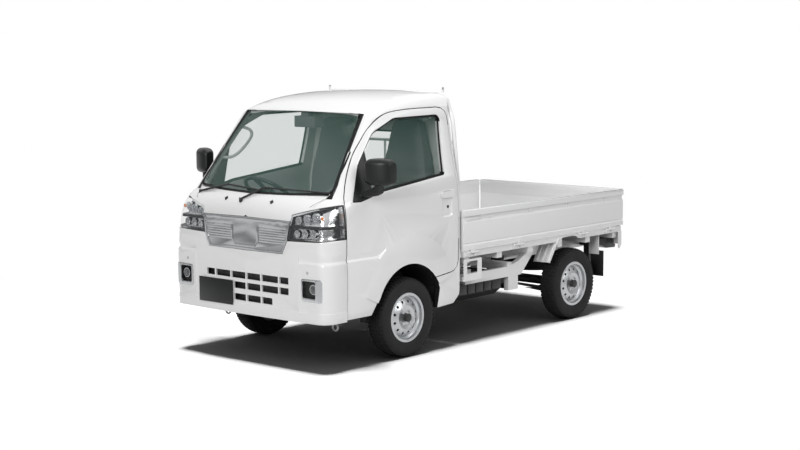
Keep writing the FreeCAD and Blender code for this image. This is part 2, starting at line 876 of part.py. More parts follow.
def mirror_section(x, y, z, depth, height):
    """An upright rounded outline across the arm, square to Y."""
    corner = 0.36 * min(depth, height)
    points = [Vector(x - depth / 2, y, z - height / 2), Vector(x + depth / 2, y, z - height / 2),
              Vector(x + depth / 2, y, z + height / 2), Vector(x - depth / 2, y, z + height / 2)]
    return Part.Wire(Part.__sortEdges__(rounded(points, [corner] * 4)))


def front_panel():
    """The painted panel between the headlights, up to the windscreen."""
    shape = cab_wall.common(front_prism(mirrored_outline(panel_edge(SEAM))))
    return node("front_panel", shaped(largest(shape)))


INTAKE_ROWS = (
    (555, 599, -376, 401),
    (486, 531, -110, 401),
    (408, 452, -110, 252),
)
INTAKE_BARS = (-291, -137, 10, 150, 313)


def intake_holes():
    """Three rows of cells below the grille, parted by thin bars."""
    bar_half = 6
    holes = []
    for bottom, top, left, right in INTAKE_ROWS:
        bars = [value for value in INTAKE_BARS if left < value < right]
        edges = [left - bar_half] + bars + [right + bar_half]
        for low_y, high_y in zip(edges, edges[1:]):
            holes.append(Part.makeBox(400, high_y - low_y - 2 * bar_half, top - bottom, Vector(
                float(nose) - 200, low_y + bar_half, bottom)))
    return holes


def bumper():
    """The painted front below the lamps: corner boxes, lip, intake and fog lamp openings."""
    half = [front_point(0, 290), front_point(760, 290)] + list(reversed(bumper_top(SEAM)))
    zone = front_prism(mirrored_outline(half))
    low = Part.makeBox(FAR, 2 * FAR, LIP_TOP + FAR, Vector(DOOR_LINE, -FAR, -FAR))
    lip = nose_layer(-float(S["lip_depth"]), WALL).common(low).common(zone).cut(underside)
    corner = Part.makeBox(FAR, FAR, CORNER_BOX_TOP - LIP_TOP, Vector(DOOR_LINE, CORNER_BOX_Y, LIP_TOP))
    corners = nose_layer(-float(S["corner_box_depth"]), WALL).common(both_sides(corner))
    rest = cab_wall.common(zone).cut([low, both_sides(corner)])
    shape = rest.fuse([lip, corners]).cut(both_sides(prism_y(door_outline(0), 300, 800)))
    pocket = Part.makeBox(400, 860, 225, Vector(float(nose) - 300, -410, 396))
    shape = shape.cut(nose_layer(12, WALL + 4).common(pocket))
    shape = shape.cut(intake_holes())
    shape = shape.cut(both_sides(prism_x(fog_outline(0), DOOR_LINE, float(nose) + 60)))
    bracket_depth = 44.0
    bracket = Part.makeBox(bracket_depth, 60, 90, Vector(
        float(nose) - float(S["plate_thickness"] + slack) - bracket_depth, -300, 410))
    return node("front_bumper", shaped(largest(shape.fuse(bracket))))


def fog_outline(gap):
    """The fog lamp's opening on the left."""
    points = [front_point(519 + gap, 464 + gap), front_point(688 - gap, 462 + gap),
              front_point(688 - gap, 608 - gap), front_point(519 + gap, 606 - gap)]
    return rounded(points, [16, 16, 16, 16])


def fog_lamps():
    """Two fog lamps: a bright rim, a dark pocket and the round lamp in it."""
    gap = float(slack)
    rim = prism_x(fog_outline(gap), DOOR_LINE + 30, float(nose) + 60)
    window = prism_x(rounded([front_point(530, 486), front_point(642, 484), front_point(642, 594),
                              front_point(530, 594)], [10, 10, 10, 10]),
                     DOOR_LINE, float(nose) + 60)
    lamp = nose_layer(-9, WALL + 20).common(rim)
    lamp = lamp.cut(nose_layer(-30, 26).common(window))
    bulb = Part.makeCylinder(31, 200, Vector(float(nose) - 160, 606, 540), Vector(1, 0, 0))
    lamp = largest(lamp.fuse(nose_layer(12, WALL).common(bulb)).removeSplitter())
    other = lamp.mirror(Vector(), Vector(0, 1, 0))
    return node("fog_lamps", shaped(Part.makeCompound([lamp, other])))


def lamp_prism(gap):
    """The left headlight's outline as a block over the nose."""
    outline = lamp_corner(gap)
    return front_prism(polyline(outline + [outline[0]]))


def headlights():
    """Two housings round the corners: a rim, a shelf between two tiers and round lamp units."""
    bowl = nose_layer(5, WALL + 30).common(lamp_prism(SEAM))
    pocket = nose_layer(-5, 42).common(lamp_prism(SEAM + 10))
    pocket = pocket.common(Part.makeBox(FAR, FAR, FAR, Vector(DOOR_LINE + 10, 0, 0)))
    shelf = Part.makeBox(FAR, FAR, 16, Vector(DOOR_LINE, 0, 922))
    bowl = bowl.cut(pocket.cut(nose_layer(10, 60).common(shelf)))
    units = []
    for y, z, radius in ((468, 968, 26), (535, 982, 28), (604, 994, 28),
                         (462, 884, 24), (530, 888, 25), (600, 892, 25)):
        unit = Part.makeCylinder(radius, 400, Vector(float(nose) - 300, y, z), Vector(1, 0, 0))
        units.append(nose_layer(20, 46).common(unit))
    bowl = largest(bowl.fuse(units).removeSplitter())
    other = bowl.mirror(Vector(), Vector(0, 1, 0))
    return node("headlights", shaped(Part.makeCompound([bowl, other])))


def headlight_covers():
    """The clear covers, flush with the skin round them."""
    cover = largest(nose_layer(0.5, 4.7).common(lamp_prism(SEAM)))
    other = cover.mirror(Vector(), Vector(0, 1, 0))
    return node("headlight_covers", shaped(Part.makeCompound([cover, other])))


def grille():
    """The bright panel: a raised rim, slats on both sides and the frame in its middle."""
    shape = nose_layer(1, WALL).common(front_prism(mirrored_outline(grille_edge(SEAM))))
    field = front_prism(mirrored_outline(grille_edge(SEAM + 13)))
    shape = shape.cut(nose_layer(-5, 6).common(field))
    grooves = []
    for index in range(7):
        z = 806 + 16.0 * index
        reach = 362 + 2.4 * index
        for low_y in (-reach, 128):
            grooves.append(Part.makeBox(FAR, reach - 128, 6, Vector(DOOR_LINE, low_y, z)))
    cutter = grooves[0].fuse(grooves[1:])
    shape = shape.cut(nose_layer(-5, 10).common(cutter))
    outer = [front_point(0, 774), front_point(92, 774), front_point(128, 812),
             front_point(128, 908), front_point(114, 908), front_point(114, 818),
             front_point(86, 788), front_point(0, 788)]
    frame_bar = front_prism(mirrored_outline(outer))
    shape = shape.fuse(nose_layer(0, 12).common(frame_bar)).removeSplitter()
    return node("grille", shaped(largest(shape)))


def nose_backing():
    """The black carrier right behind the bumper, the grille and the front panel."""
    gap = float(slack)
    layer = nose_layer(WALL + gap, WALL + 12)
    zone = Part.makeBox(400, 1340, 1095 - 340, Vector(DOOR_LINE + 6, -670, 340))
    layer = layer.common(zone)
    fogs = prism_x(fog_outline(-1), DOOR_LINE, float(nose) + 60)
    layer = layer.cut(both_sides(lamp_prism(-gap))).cut(both_sides(fogs))
    return node("nose_backing", shaped(largest(layer)))


def cab_floor():
    """Foot well, front wall, seat riser and the two wheel houses, as one pressing."""
    half = float(half_width) - WALL - 6
    floor_z = float(S["floor_height"])
    riser_z = float(S["riser_height"])
    sheet_wall = float(S["floor_sheet"])
    riser_front = float(front_axle) + 165
    back = float(cab_inside_back) + float(slack)
    top = 1060.0
    wall_front = FIREWALL + sheet_wall
    low = floor_z - sheet_wall
    shape = Part.makeBox(FIREWALL - riser_front, 2 * half, sheet_wall, Vector(riser_front, -half, low))
    shape = shape.fuse([
        Part.makeBox(sheet_wall, 2 * half, top - low, Vector(FIREWALL, -half, low)),
        Part.makeBox(sheet_wall, 2 * half, riser_z - low, Vector(riser_front, -half, low)),
        Part.makeBox(riser_front + sheet_wall - back, 2 * half, sheet_wall,
                     Vector(back, -half, riser_z - sheet_wall))])
    house = prism_y(arch_outline(16), 406, half)
    house = house.common(Part.makeBox(2 * FAR, FAR, FAR, Vector(0, 0, floor_z - 60)))
    shape = shape.fuse(both_sides(house)).cut(both_sides(prism_y(arch_outline(4), 418, half)))
    room = Part.makeBox(wall_front - back, 2 * FAR, top - 200, Vector(back, -FAR, 200))
    seat_strip = Part.makeBox(40, 2 * (half - 30), sheet_wall, Vector(
        back, -half + 30, riser_z - sheet_wall))
    shape = shape.common(room).common(nose_block(WALL + 12.5)).fuse(seat_strip).removeSplitter()
    return node("cab_floor", shaped(largest(shape)))


def dashboard():
    """The instrument panel under the windscreen, with the steering column's cover."""
    half = float(half_width) - WALL - 60
    front = FIREWALL - float(slack)
    points = [Vector(front, 0, 1070), Vector(front - 40, 0, 1078), Vector(front - 150, 0, 1070),
              Vector(front - 215, 0, 1040), Vector(front - 235, 0, 960), Vector(front - 200, 0, 860),
              Vector(front - 120, 0, 800), Vector(front, 0, 790)]
    face = Part.Face(Part.Wire(Part.__sortEdges__(rounded(points, [0, 30, 60, 40, 60, 60, 40, 0]))))
    face.translate(Vector(0, -half, 0))
    panel = face.extrude(Vector(0, 2 * half, 0))
    panel = panel.common(nose_block(WALL + 12.5))
    column_top = HUB_DEPTH + float(slack)
    column = Part.makeCylinder(
        38, 300 - column_top, steering_centre() + steering_axis() * -300, steering_axis())
    shape = panel.fuse(column).removeSplitter()
    return node("dashboard", shaped(largest(shape)))


def steering_axis():
    """Towards the driver, along the column."""
    lean = math.radians(STEERING_TILT)
    return Vector(-math.sin(lean), 0, math.cos(lean))


def steering_centre():
    """The middle of the steering wheel's rim."""
    return Vector(float(front_axle) + 255, -330, 1062)


def steering_wheel():
    """A rim with a hub and three spokes."""
    radius = float(S["steering_wheel_radius"])
    centre = steering_centre()
    axis = steering_axis()
    rim = Part.makeTorus(radius, 14)
    hub = Part.makeCylinder(62, HUB_DEPTH + 6, Vector(0, 0, -HUB_DEPTH))
    shape = rim.fuse(hub)
    for angle in (0, 180, 270):
        spoke = Part.makeBox(radius - 40, 34, 14, Vector(40, -17, -8))
        spoke.rotate(Vector(), Vector(0, 0, 1), angle)
        shape = shape.fuse(spoke)
    shape = shape.removeSplitter()
    shape.Placement = Placement(centre, Rotation(Vector(0, 0, 1), axis))
    return node("steering_wheel", shaped(shape))


def seat_parts(side):
    """A high-backed seat: its cushion and its back."""
    low = 120 if side > 0 else -560
    riser = float(S["riser_height"])
    base_x = float(cab_inside_back)
    cushion_points = [Vector(base_x + 70, low, riser + 60), Vector(base_x + 60, low, riser + 0.3),
                      Vector(base_x + 520, low, riser + 0.3), Vector(base_x + 560, low, riser + 60),
                      Vector(base_x + 560, low, riser + 150), Vector(base_x + 120, low, riser + 118)]
    face = Part.Face(Part.Wire(Part.__sortEdges__(rounded(cushion_points, [10, 0, 10, 20, 50, 10]))))
    cushion = face.extrude(Vector(0, 440, 0))
    back_points = [Vector(base_x + 90, low, riser + 118.5), Vector(base_x + 178, low, riser + 122.6),
                   Vector(base_x + 150, low, riser + 330), Vector(base_x + 110, low, riser + 700),
                   Vector(base_x + 95, low, riser + 925), Vector(base_x + 22, low, riser + 925),
                   Vector(base_x + 10, low, riser + 640)]
    face = Part.Face(Part.Wire(Part.__sortEdges__(rounded(back_points, [0, 10, 80, 60, 35, 35, 60]))))
    back = face.extrude(Vector(0, 440, 0))
    head_cut = prism_x(rounded([
        Vector(0, low - 20, riser + 80), Vector(0, low + 460, riser + 80),
        Vector(0, low + 440, riser + 520), Vector(0, low + 400, riser + 700),
        Vector(0, low + 345, riser + 925), Vector(0, low + 95, riser + 925),
        Vector(0, low + 40, riser + 700), Vector(0, low, riser + 520)],
        [0, 0, 60, 60, 70, 70, 60, 60]), base_x, base_x + 400)
    return cushion, back.common(head_cut)


def seats():
    """Two cushions and two backs."""
    left_cushion, left_back = seat_parts(1)
    right_cushion, right_back = seat_parts(-1)
    node("seat_cushions", shaped(Part.makeCompound([left_cushion, right_cushion])))
    node("seat_backs", shaped(Part.makeCompound([left_back, right_back])))


def cab_fittings():
    """Interior mirror housing under the roof's front edge and the grip on the right pillar."""
    roof_z = float(S["screen_top"]) - float(S["roof_wall"])
    x = float(front_axle) + 205
    housing = Part.makeBox(90, 190, 75, Vector(x - 40, -75, roof_z - 85))
    stem = Part.makeBox(50, 60, 60, Vector(x - 20, -30, roof_z - 20))
    shape = housing.fuse(stem).common(cab_inner)
    return node("cab_fittings", shaped(largest(shape)))


WIPER_PLACES = (
    ((686, -553, 1097), (684, -277, 1156), (714, 51, 1138)),
    ((772, -60, 1078), (700, 90, 1155), (626, 612, 1142)),
)


def wipers():
    """Two arms with blades, parked along the foot of the windscreen."""
    arms = []
    for pivot, bend, end in WIPER_PLACES:
        places = [Vector(float(front_axle) + x, y, z) for x, y, z in (pivot, bend, end)]
        foot = Part.makeCylinder(13, 30, places[0] - Vector(0, 0, 22), Vector(0, 0, 1))
        first = bar_between(places[0], places[1], 7)
        second = bar_between(places[1], places[2], 6)
        knob = Part.makeSphere(9, places[1])
        arms.append(foot.fuse([first, second, knob]).cut(cab_outer))
    return node("wipers", shaped(Part.makeCompound([largest(arm) for arm in arms])))


def bar_between(start, end, radius):
    """A round bar from one point to another."""
    return Part.makeCylinder(radius, (end - start).Length, start, end - start)


def front_plate():
    """The blank plate on the bumper."""
    return node("plate_front", box((nose - S["plate_thickness"], nose), (-441, -111), (372, 537)))


# Chassis

def chassis_frame():
    """Two rails that step down under the cab, cross members, side rails and tow hooks."""
    step_back = bed_front + 20
    step_front = step_back + 170
    back = tail + 55
    front = nose - 150
    profile = [
        (back, rail_low), (step_back, rail_low), (step_front, front_rail_low),
        (front, front_rail_low), (front, front_rail_top), (step_front + 15, front_rail_top),
        (step_back + 20, S["rail_top"]), (back, S["rail_top"])]
    half = S["rail_width"] / 2
    left = slab("y", profile, (rail_y - half, rail_y + half))
    right = mirrored(left)
    pieces = [left, right]
    reach = (-rail_y, rail_y)
    for x in (back, rear_axle - 455, rear_axle + 330, rear_axle + 900):
        pieces.append(box((x, x + 60), reach, (rail_low + 15, rail_low + 75)))
    for x in (front_axle + 250, front - 60):
        pieces.append(box((x, x + 60), reach, (front_rail_low + 10, front_rail_low + 70)))
    pieces.append(box((front_axle - 60, front_axle + 60), (-rail_y - 30, rail_y + 30),
                      (front_rail_low - 40, front_rail_low + 20)))
    for side in (1, -1):
        pieces += side_frame(side) + tow_hook(side)
    return node("frame", fuse(*pieces))


def side_frame(side):
    """The outer rail below the bed with its foot, its rise, two outriggers and end bracket."""
    inner = rail_y + 250
    outer = rail_y + 290
    face = half_width - 12.5
    low = rail_low - 68
    high = rail_low + 5
    width = span_on(side, inner, outer)
    rail = box((rear_axle + 572, cab_back - 145), width, (low, high))
    foot = box((rear_axle + 598, rear_axle + 712), width, (low - 102, low + 38))
    rise = slab("y", [
        (rear_axle + 560, low), (rear_axle + 416, sill_low - 67), (rear_axle + 360, sill_low - slack),
        (rear_axle + 452, sill_low - slack), (rear_axle + 488, sill_low - 50),
        (rear_axle + 590, high + 30), (rear_axle + 720, high)], width)
    pieces = [rail, foot, rise]
    for x in (rear_axle + 668, cab_back - 215):
        pieces.append(box((x, x + 50), span_on(side, rail_y + 20, outer - 5), (high - 30, high + 30)))
    end = (cab_back - 228, cab_back - 32)
    bracket = box(end, span_on(side, face - 6, face), (high - 30, sill_low - 14))
    window = box((end[0] + 44, end[1] - 34), span_on(side, face - 20, face + 20),
                 (high + 20, sill_low - 30))
    shelf = box(end, span_on(side, inner, face - 1), (high - 30, high))
    return pieces + [cut(bracket, window), shelf]


def tow_hook(side):
    """A ring below the front corner, on an arm from the rail."""
    x = nose - 324
    y = rail_y + 166
    arm = box((x - 16, x + 16), span_on(side, rail_y, y + 16), (front_rail_low - 22, front_rail_low + 12))
    ring = doc.addObject("Part::Torus", "Ring")
    bind(ring, "Radius1", 22)
    bind(ring, "Radius2", 6)
    ring.Placement = Placement(Vector(), TURN_FOR_AXIS["x"])
    move_to(ring, x, side * y, front_rail_low - 42)
    return [arm, ring]


def drivetrain():
    """The engine as one plain block, the gearbox behind it and the propeller shaft."""
    engine_back = cab_back + 30
    engine = box((engine_back, engine_back + 440), (-215, 215), (245, 600))
    gearbox = box((engine_back - 420, engine_back), (-120, 120), (250, 440))
    shaft = rod("x", (rear_axle + 170 + slack, engine_back - 420), (0, hub_height + 20), 30)
    return node("drivetrain", fuse(engine, gearbox, shaft))


def rear_axle_assembly():
    """The axle tube with its differential, the drums and the wheels' centring bosses."""
    end = tyre_middle + S["wheel_offset"]
    tube = rod("y", (-end + 80, end - 80), (rear_axle, hub_height), S["axle_radius"])
    housing = revolved((rear_axle, 0, hub_height), [
        (-95, 0), (-95, 60), (-50, 104), (50, 104), (95, 60), (95, 0)])
    pieces = [tube, housing, rod("x", (rear_axle, rear_axle + 170), (0, hub_height), 55)]
    for side in (1, -1):
        pieces.append(rod("y", span_on(side, end - 92, end - 32), (rear_axle, hub_height),
                          S["drum_radius"]))
        pieces.append(rod("y", span_on(side, end - 34, end - slack), (rear_axle, hub_height), 60))
        pieces.append(rod("y", span_on(side, end - slack, end + 22), (rear_axle, hub_height),
                          S["spindle_radius"]))
    return node("rear_axle", fuse(*pieces))


def leaf_springs():
    """A leaf pack on each side, seated under the axle, with its shackles and damper."""
    y = rail_y + 95
    items = []
    for side in (1, -1):
        width = span_on(side, y - 25, y + 25)
        low = hub_height - S["axle_radius"] - 26
        spring = slab("y", [
            (rear_axle - 560, low + 120), (rear_axle - 60, low), (rear_axle + 60, low),
            (rear_axle + 560, low + 120), (rear_axle + 560, low + 132), (rear_axle + 60, low + 26),
            (rear_axle - 60, low + 26), (rear_axle - 560, low + 132)], width)
        helper = slab("y", [
            (rear_axle - 260, low + 38), (rear_axle - 50, low - 16), (rear_axle + 50, low - 16),
            (rear_axle + 260, low + 38), (rear_axle + 60, low + 6), (rear_axle - 60, low + 6)], width)
        shackles = [
            box((rear_axle - 585, rear_axle - 545), width, (low + 105, S["rail_top"] - 40)),
            box((rear_axle + 545, rear_axle + 585), width, (low + 105, S["rail_top"] - 40)),
            box((rear_axle - 585, rear_axle - 545), span_on(side, rail_y + S["rail_width"] / 2, y),
                (S["rail_top"] - 80, S["rail_top"] - 40)),
            box((rear_axle + 545, rear_axle + 585), span_on(side, rail_y + S["rail_width"] / 2, y),
                (S["rail_top"] - 80, S["rail_top"] - 40)),
        ]
        items.append(fuse(spring, helper, *shackles))
    return node("leaf_springs", compound(*items))


BALL_RADIUS = 10.0
ball_height = front_rail_low - 70 + BALL_RADIUS + slack
kingpin_slope = math.tan(math.radians(float(S["kingpin_lean"])))
kingpin_y = tyre_middle - S["kingpin_inset"]
ball_y = kingpin_y + kingpin_slope * (hub_height - ball_height)


def front_suspension():
    """Lower arms from the cross member out to the ball joints, with their posts."""
    top = front_rail_low - 70
    items = []
    for side in (1, -1):
        arm = slab("z", [
            (front_axle - 45, side * (rail_y + 5)), (front_axle + 45, side * (rail_y + 5)),
            (front_axle + 22, side * (ball_y - 22)), (front_axle + 10, side * (ball_y + 8)),
            (front_axle - 10, side * (ball_y + 8)), (front_axle - 22, side * (ball_y - 22))],
            (top - 22, top))
        post = box((front_axle - 45, front_axle + 45), span_on(side, rail_y - 30, rail_y + 30),
                   (top - 22, front_rail_low - 40 - slack))
        items.append(fuse(arm, post))
    return node("front_suspension", compound(*items))


def knuckle(side):
    """The upright with its drum cover, the wheel's boss, the ball joint and the strut."""
    end = tyre_middle + S["wheel_offset"]
    drum = rod("y", span_on(side, end - 78, end - 32), (front_axle, hub_height), S["drum_radius"])
    flange = rod("y", span_on(side, end - 34, end - slack), (front_axle, hub_height), 60)
    boss = rod("y", span_on(side, end - slack, end + 22), (front_axle, hub_height),
               S["spindle_radius"])
    upright = box((front_axle - 30, front_axle + 30), span_on(side, kingpin_y - 70, end - 70),
                  (front_rail_low - 60, hub_height + 70))
    ball = doc.addObject("Part::Sphere", "Ball")
    bind(ball, "Radius", BALL_RADIUS)
    move_to(ball, front_axle, side * ball_y, ball_height)
    foot_y = float(kingpin_y) - 46
    foot_rise = 62.0
    strut_length = 270.0
    lean_in = float(kingpin_y) - kingpin_slope * (foot_rise + strut_length) - foot_y
    strut = doc.addObject("Part::Cylinder", "Strut")
    bind(strut, "Radius", 23)
    bind(strut, "Height", strut_length)
    towards = Vector(0, side * lean_in, strut_length)
    strut.Placement = Placement(Vector(), Rotation(Vector(0, 0, 1), towards))
    move_to(strut, front_axle, side * foot_y, hub_height + foot_rise)
    return node(side_name("knuckle", side), fuse(drum, flange, boss, upright, ball, strut))


def wheel(corner, x, side):
    """One wheel: a steel rim with twelve round holes, and its tyre."""
    middle = side * tyre_middle
    half = S["tyre_width"] / 2
    bead = S["bead_diameter"] / 2
    outer = S["tyre_diameter"] / 2
    flange = S["flange_diameter"] / 2
    tyre = revolved((x, middle, hub_height), [
        (-54 + slack, bead + slack), (-54 + slack, flange + 2), (-63, flange + 5), (-half, bead + 56),
        (-half, bead + 68), (-half + 5, outer - 26), (-half + 14, outer - 11),
        (-half + 28, outer - 3), (-22, outer), (22, outer), (half - 28, outer - 3),
        (half - 14, outer - 11), (half - 5, outer - 26), (half, bead + 68), (half, bead + 56),
        (63, flange + 5), (54 - slack, flange + 2), (54 - slack, bead + slack)])
    face = S["wheel_offset"] * side
    barrel = revolved((x, middle, hub_height), [
        (-60, flange), (-54, flange), (-54, bead), (-24, bead), (-14, bead - 12), (20, bead - 12),
        (34, bead), (54, bead), (54, flange), (60, flange), (60, bead - 5), (36, bead - 5),
        (22, bead - 17), (-16, bead - 17), (-26, bead - 5), (-60, bead - 5)])
    disc = revolved((x, middle, hub_height), [
        (face, S["spindle_radius"] + slack), (face, 62), (face + side * 8, 78),
        (face - side * 6, 112), (face - side * 24, bead - 14), (face - side * 20, bead - 14),
        (face - side * 2, 112), (face + side * 12, 80), (face + side * 4, 60),
        (face + side * 4, S["spindle_radius"] + slack)])
    holes = []
    for index in range(12):
        turn = 2 * math.pi * (index + 0.5) / 12
        holes.append(rod("y", (middle + face - 30, middle + face + 30),
                         (x + 108 * math.cos(turn), hub_height + 108 * math.sin(turn)), 9))
    nuts = []
    for index in range(4):
        turn = 2 * math.pi * (index + 0.5) / 4
        nuts.append(rod("y", span_on(side, tyre_middle + S["wheel_offset"] + 2,
                                     tyre_middle + S["wheel_offset"] + 16),
                        (x + 50 * math.cos(turn), hub_height + 50 * math.sin(turn)), 9))
    node("tyre_" + corner, tyre)
    node("rim_" + corner, fuse(cut(fuse(barrel, disc), *holes), *nuts))


def wheels():
    """Four wheels on two axles."""
    wheel("front_left", front_axle, 1)
    wheel("front_right", front_axle, -1)
    wheel("rear_left", rear_axle, 1)
    wheel("rear_right", rear_axle, -1)


def fuel_tank():
    """A ribbed black tank between the axles on the left, hung from the rail by two straps."""
    low = rail_low - 190
    high = rail_low - 68 - slack
    back = front_axle - 1112
    front = front_axle - 628
    inner = rail_y - 20
    outer = rail_y + 280
    tank = slab("x", [
        (inner, low + 30), (inner + 30, low), (outer - 60, low), (outer, low + 50),
        (outer, high), (inner, high)], (back, front))
    grooves = []
    for share in (0.22, 0.41, 0.6, 0.79):
        x = back + (front - back) * share
        grooves.append(box((x - 9, x + 9), (outer - 6, outer + 10), (low - 10, high + 10)))
    straps = [box((x - 20, x + 20), (rail_y - 15, rail_y + 5), (high - 5, rail_low - slack))
              for x in (back + 90, front - 90)]
    return node("fuel_tank", fuse(cut(tank, *grooves), *straps))


def exhaust():
    """Pipe and muffler inside the right rail, with hangers."""
    y = -rail_y + 74
    z = 385
    start = cab_back + 58
    muffler = rod("x", (rear_axle + 380, rear_axle + 860), (y, z - 10), 70)
    front_pipe = rod("x", (rear_axle + 850, start), (y, z), 21)
    tail_pipe = rod("x", (tail + 40, rear_axle + 390), (y, z), 19)
    hangers = [
        box((rear_axle + 395, rear_axle + 415), (-rail_y + 30 + slack, y), (z - 10, z + 110)),
        box((tail + 120, tail + 140), (-rail_y + 30 + slack, y), (z - 10, z + 110))]
    return node("exhaust", fuse(muffler, front_pipe, tail_pipe, *hangers))


def spare_wheel():
    """A wheel that lies flat under the bed, behind the axle, in its cradle."""
    z = rail_low - 175
    x = rear_axle - 425
    tyre = rod("z", (z, z + 120), (x, 0), 250)
    bore = rod("z", (z - 5, z + 125), (x, 0), 145)
    plate = rod("z", (z + 40, z + 55), (x, 0), 150)
    hanger = box((x - 25, x + 25), (-40, 40), (z + 50, rail_low + 15 - slack))
    return node("spare_wheel", fuse(cut(tyre, bore), plate, hanger))


flap_x = rear_axle - 372
FLAP_STAY_TOP = 480.0


def mudguards():
    """A flap behind each rear wheel."""
    items = [box((flap_x, flap_x + 5), span_on(side, half_width - 125, half_width - 8),
                 (281, FLAP_STAY_TOP)) for side in (1, -1)]
    return node("mudguards", compound(*items))


lamp_back = tail + 38
lamp_inner = rail_y + 210
lamp_outer = half_width - 87


def rear_lamps():
    """A dark housing under each rear corner of the bed, tapered to the front."""
    high = S["rail_top"] - slack
    items = []
    for side in (1, -1):
        items.append(slab("y", [
            (lamp_back, high - 85), (lamp_back + 120, high - 80), (lamp_back + 210, high - 45),
            (lamp_back + 210, high), (lamp_back, high)], span_on(side, lamp_inner, lamp_outer)))
    return node("rear_lamps", compound(*items))


def tail_lenses():
    """The lamps' lenses, which face backwards."""
    high = S["rail_top"] - slack
    items = [box((lamp_back - 10, lamp_back - slack), span_on(side, lamp_inner + 3, lamp_outer - 3),
                 (high - 82, high - 3)) for side in (1, -1)]
    return node("tail_lenses", compound(*items))


# Bed

HINGE_HALF = 62
HINGE_MIDDLE = 24
TAILGATE_HINGES = (-420, 420)


def bed_floor():
    """Floor, cross sills, side sills, front wall, corner posts, guards and hinge knuckles."""
    floor_low = bed_top - 22
    cross_low = S["rail_top"] + slack
    outer = bed_half + 11
    inside = (-bed_half + 8, bed_half - 8)
    wall_top = gate_top - 12
    pieces = [
        box((bed_back, bed_front), inside, (floor_low, bed_top)),
        box((bed_front, bed_front + 18), (-bed_half + 10, bed_half - 10), (sill_low, wall_top)),
        box((bed_front - 5, bed_front + 23), (-bed_half + 10, bed_half - 10),
            (wall_top - 34, wall_top)),
        box((bed_back - 18, bed_back + 10), inside, (sill_low - 20, bed_top)),
    ]
    wheel_gap = rod("y", (-half_width, half_width), (rear_axle + 67, bed_top - 358), 348)
    for side in (1, -1):
        sill = box((bed_back, bed_front), span_on(side, bed_half - 20, outer), (sill_low, bed_top))
        pieces.append(cut(sill, wheel_gap))
    count = 6
    pitch = (bed_front - bed_back - 120) / (count - 1)
    for index in range(count):
        x = bed_back + 30 + pitch * index
        pieces.append(box((x, x + 60), inside, (cross_low, floor_low + 2)))
    for side in (1, -1):
        for x in hinge_places():
            pieces += hinge_knuckles("x", x, side * pivot_y, span_on(side, outer - 2, pivot_y),
                                     span_on(side, outer - 2, outer + 9))
        pieces += wheel_guard(side) + corner_post(side)
    for y in TAILGATE_HINGES:
        pieces += hinge_knuckles("y", y, tail_pivot_x, (tail_pivot_x, bed_back - 10),
                                 (tail_pivot_x + 16, bed_back - 10))
    return node("bed_floor", fuse(*pieces))


def hinge_knuckles(axis, place, pin, block, plate):
    """A gate hinge's fixed half: two knuckles on their plates and the pin between them."""
    pieces = [rod(axis, (place - HINGE_MIDDLE - 6, place + HINGE_MIDDLE + 6), (pin, pivot_height),
                  S["hinge_pin_radius"])]
    for low, high in ((-HINGE_HALF, -HINGE_MIDDLE), (HINGE_MIDDLE, HINGE_HALF)):
        along = (place + low, place + high)
        pieces.append(rod(axis, along, (pin, pivot_height), 8))
        pieces.append(level_box(axis, along, block, (pivot_height - 14, pivot_height - 2)))
        pieces.append(level_box(axis, along, plate, (pivot_height - 26, pivot_height - 8)))
    return pieces


def level_box(axis, along, across_it, heights):
    """A block whose first limits run along the named axis, X or Y."""
    if axis == "x":
        return box(along, across_it, heights)
    return box(across_it, along, heights)


def wheel_guard(side):
    """The sloping ribbed sheet ahead of a rear wheel and the stay of the flap behind it."""
    top = bed_top - 20
    low = sill_low - 144
    pieces = [sloped_sheet((rear_axle + 205, top), (rear_axle + 319, low), 6,
                           span_on(side, bed_half - 130, bed_half + 20))]
    for y in (bed_half - 115, bed_half - 65, bed_half - 15):
        pieces.append(sloped_sheet((rear_axle + 229, sill_low - 12), (rear_axle + 314, low + 8), 11,
                                   span_on(side, y, y + 18)))
    pieces.append(box((flap_x + 5 + slack, flap_x + 13), span_on(side, bed_half - 105, bed_half - 15),
                      (FLAP_STAY_TOP - 30, top)))
    return pieces


def sloped_sheet(start, end, thickness, width):
    """A sheet between two (X, Z) points, thickened forwards."""
    return slab("y", [start, end, (end[0] + thickness, end[1]), (start[0] + thickness, start[1])],
                width)


def corner_post(side):
    """The tapered plate that closes the bed's rear corner below its floor."""
    back = bed_back - 2.5
    low = sill_low - 100
    cheek = slab("y", [
        (back, sill_low + 4), (back, low), (back + 23, low - 32), (back + 39, low - 26),
        (back + 44, sill_low + 4)], span_on(side, bed_half + 10, bed_half + 16))
    web = box((back, back + 6), span_on(side, bed_half - 50, bed_half + 15), (low, sill_low + 4))
    return [cheek, web]


def hinge_places():
    """Where the side gates' hinges stand along the bed."""
    first = front_axle - 666
    return [first, first - 528, first - 1330, first - 1690]


GATE_FOOT = ((2.5, 0), (2.5, 30), (8.5, 38), (8.5, 43), (4.5, 48))
GATE_HEAD = ((4.5, 85), (14.5, 69), (14.5, 42), (0, 42), (0, 0))


def gate_section(outer, inner, way):
    """A drop panel's section: a flange, a groove, the panel, a recessed band and the top rail.

    Its points are (across, height). The outer face looks along way, 1 or -1.
    """
    line = [(outer - way * inset, gate_bottom + rise) for inset, rise in GATE_FOOT]
    line += [(outer - way * inset, gate_top - drop) for inset, drop in GATE_HEAD]
    rail_inner = inner - way * 5
    groove = inner + way * 3
    return line + [
        (rail_inner, gate_top), (rail_inner, gate_top - 42), (inner, gate_top - 42),
        (inner, gate_top - 99), (groove, gate_top - 99), (groove, gate_top - 107),
        (inner, gate_top - 107), (inner, gate_bottom)]


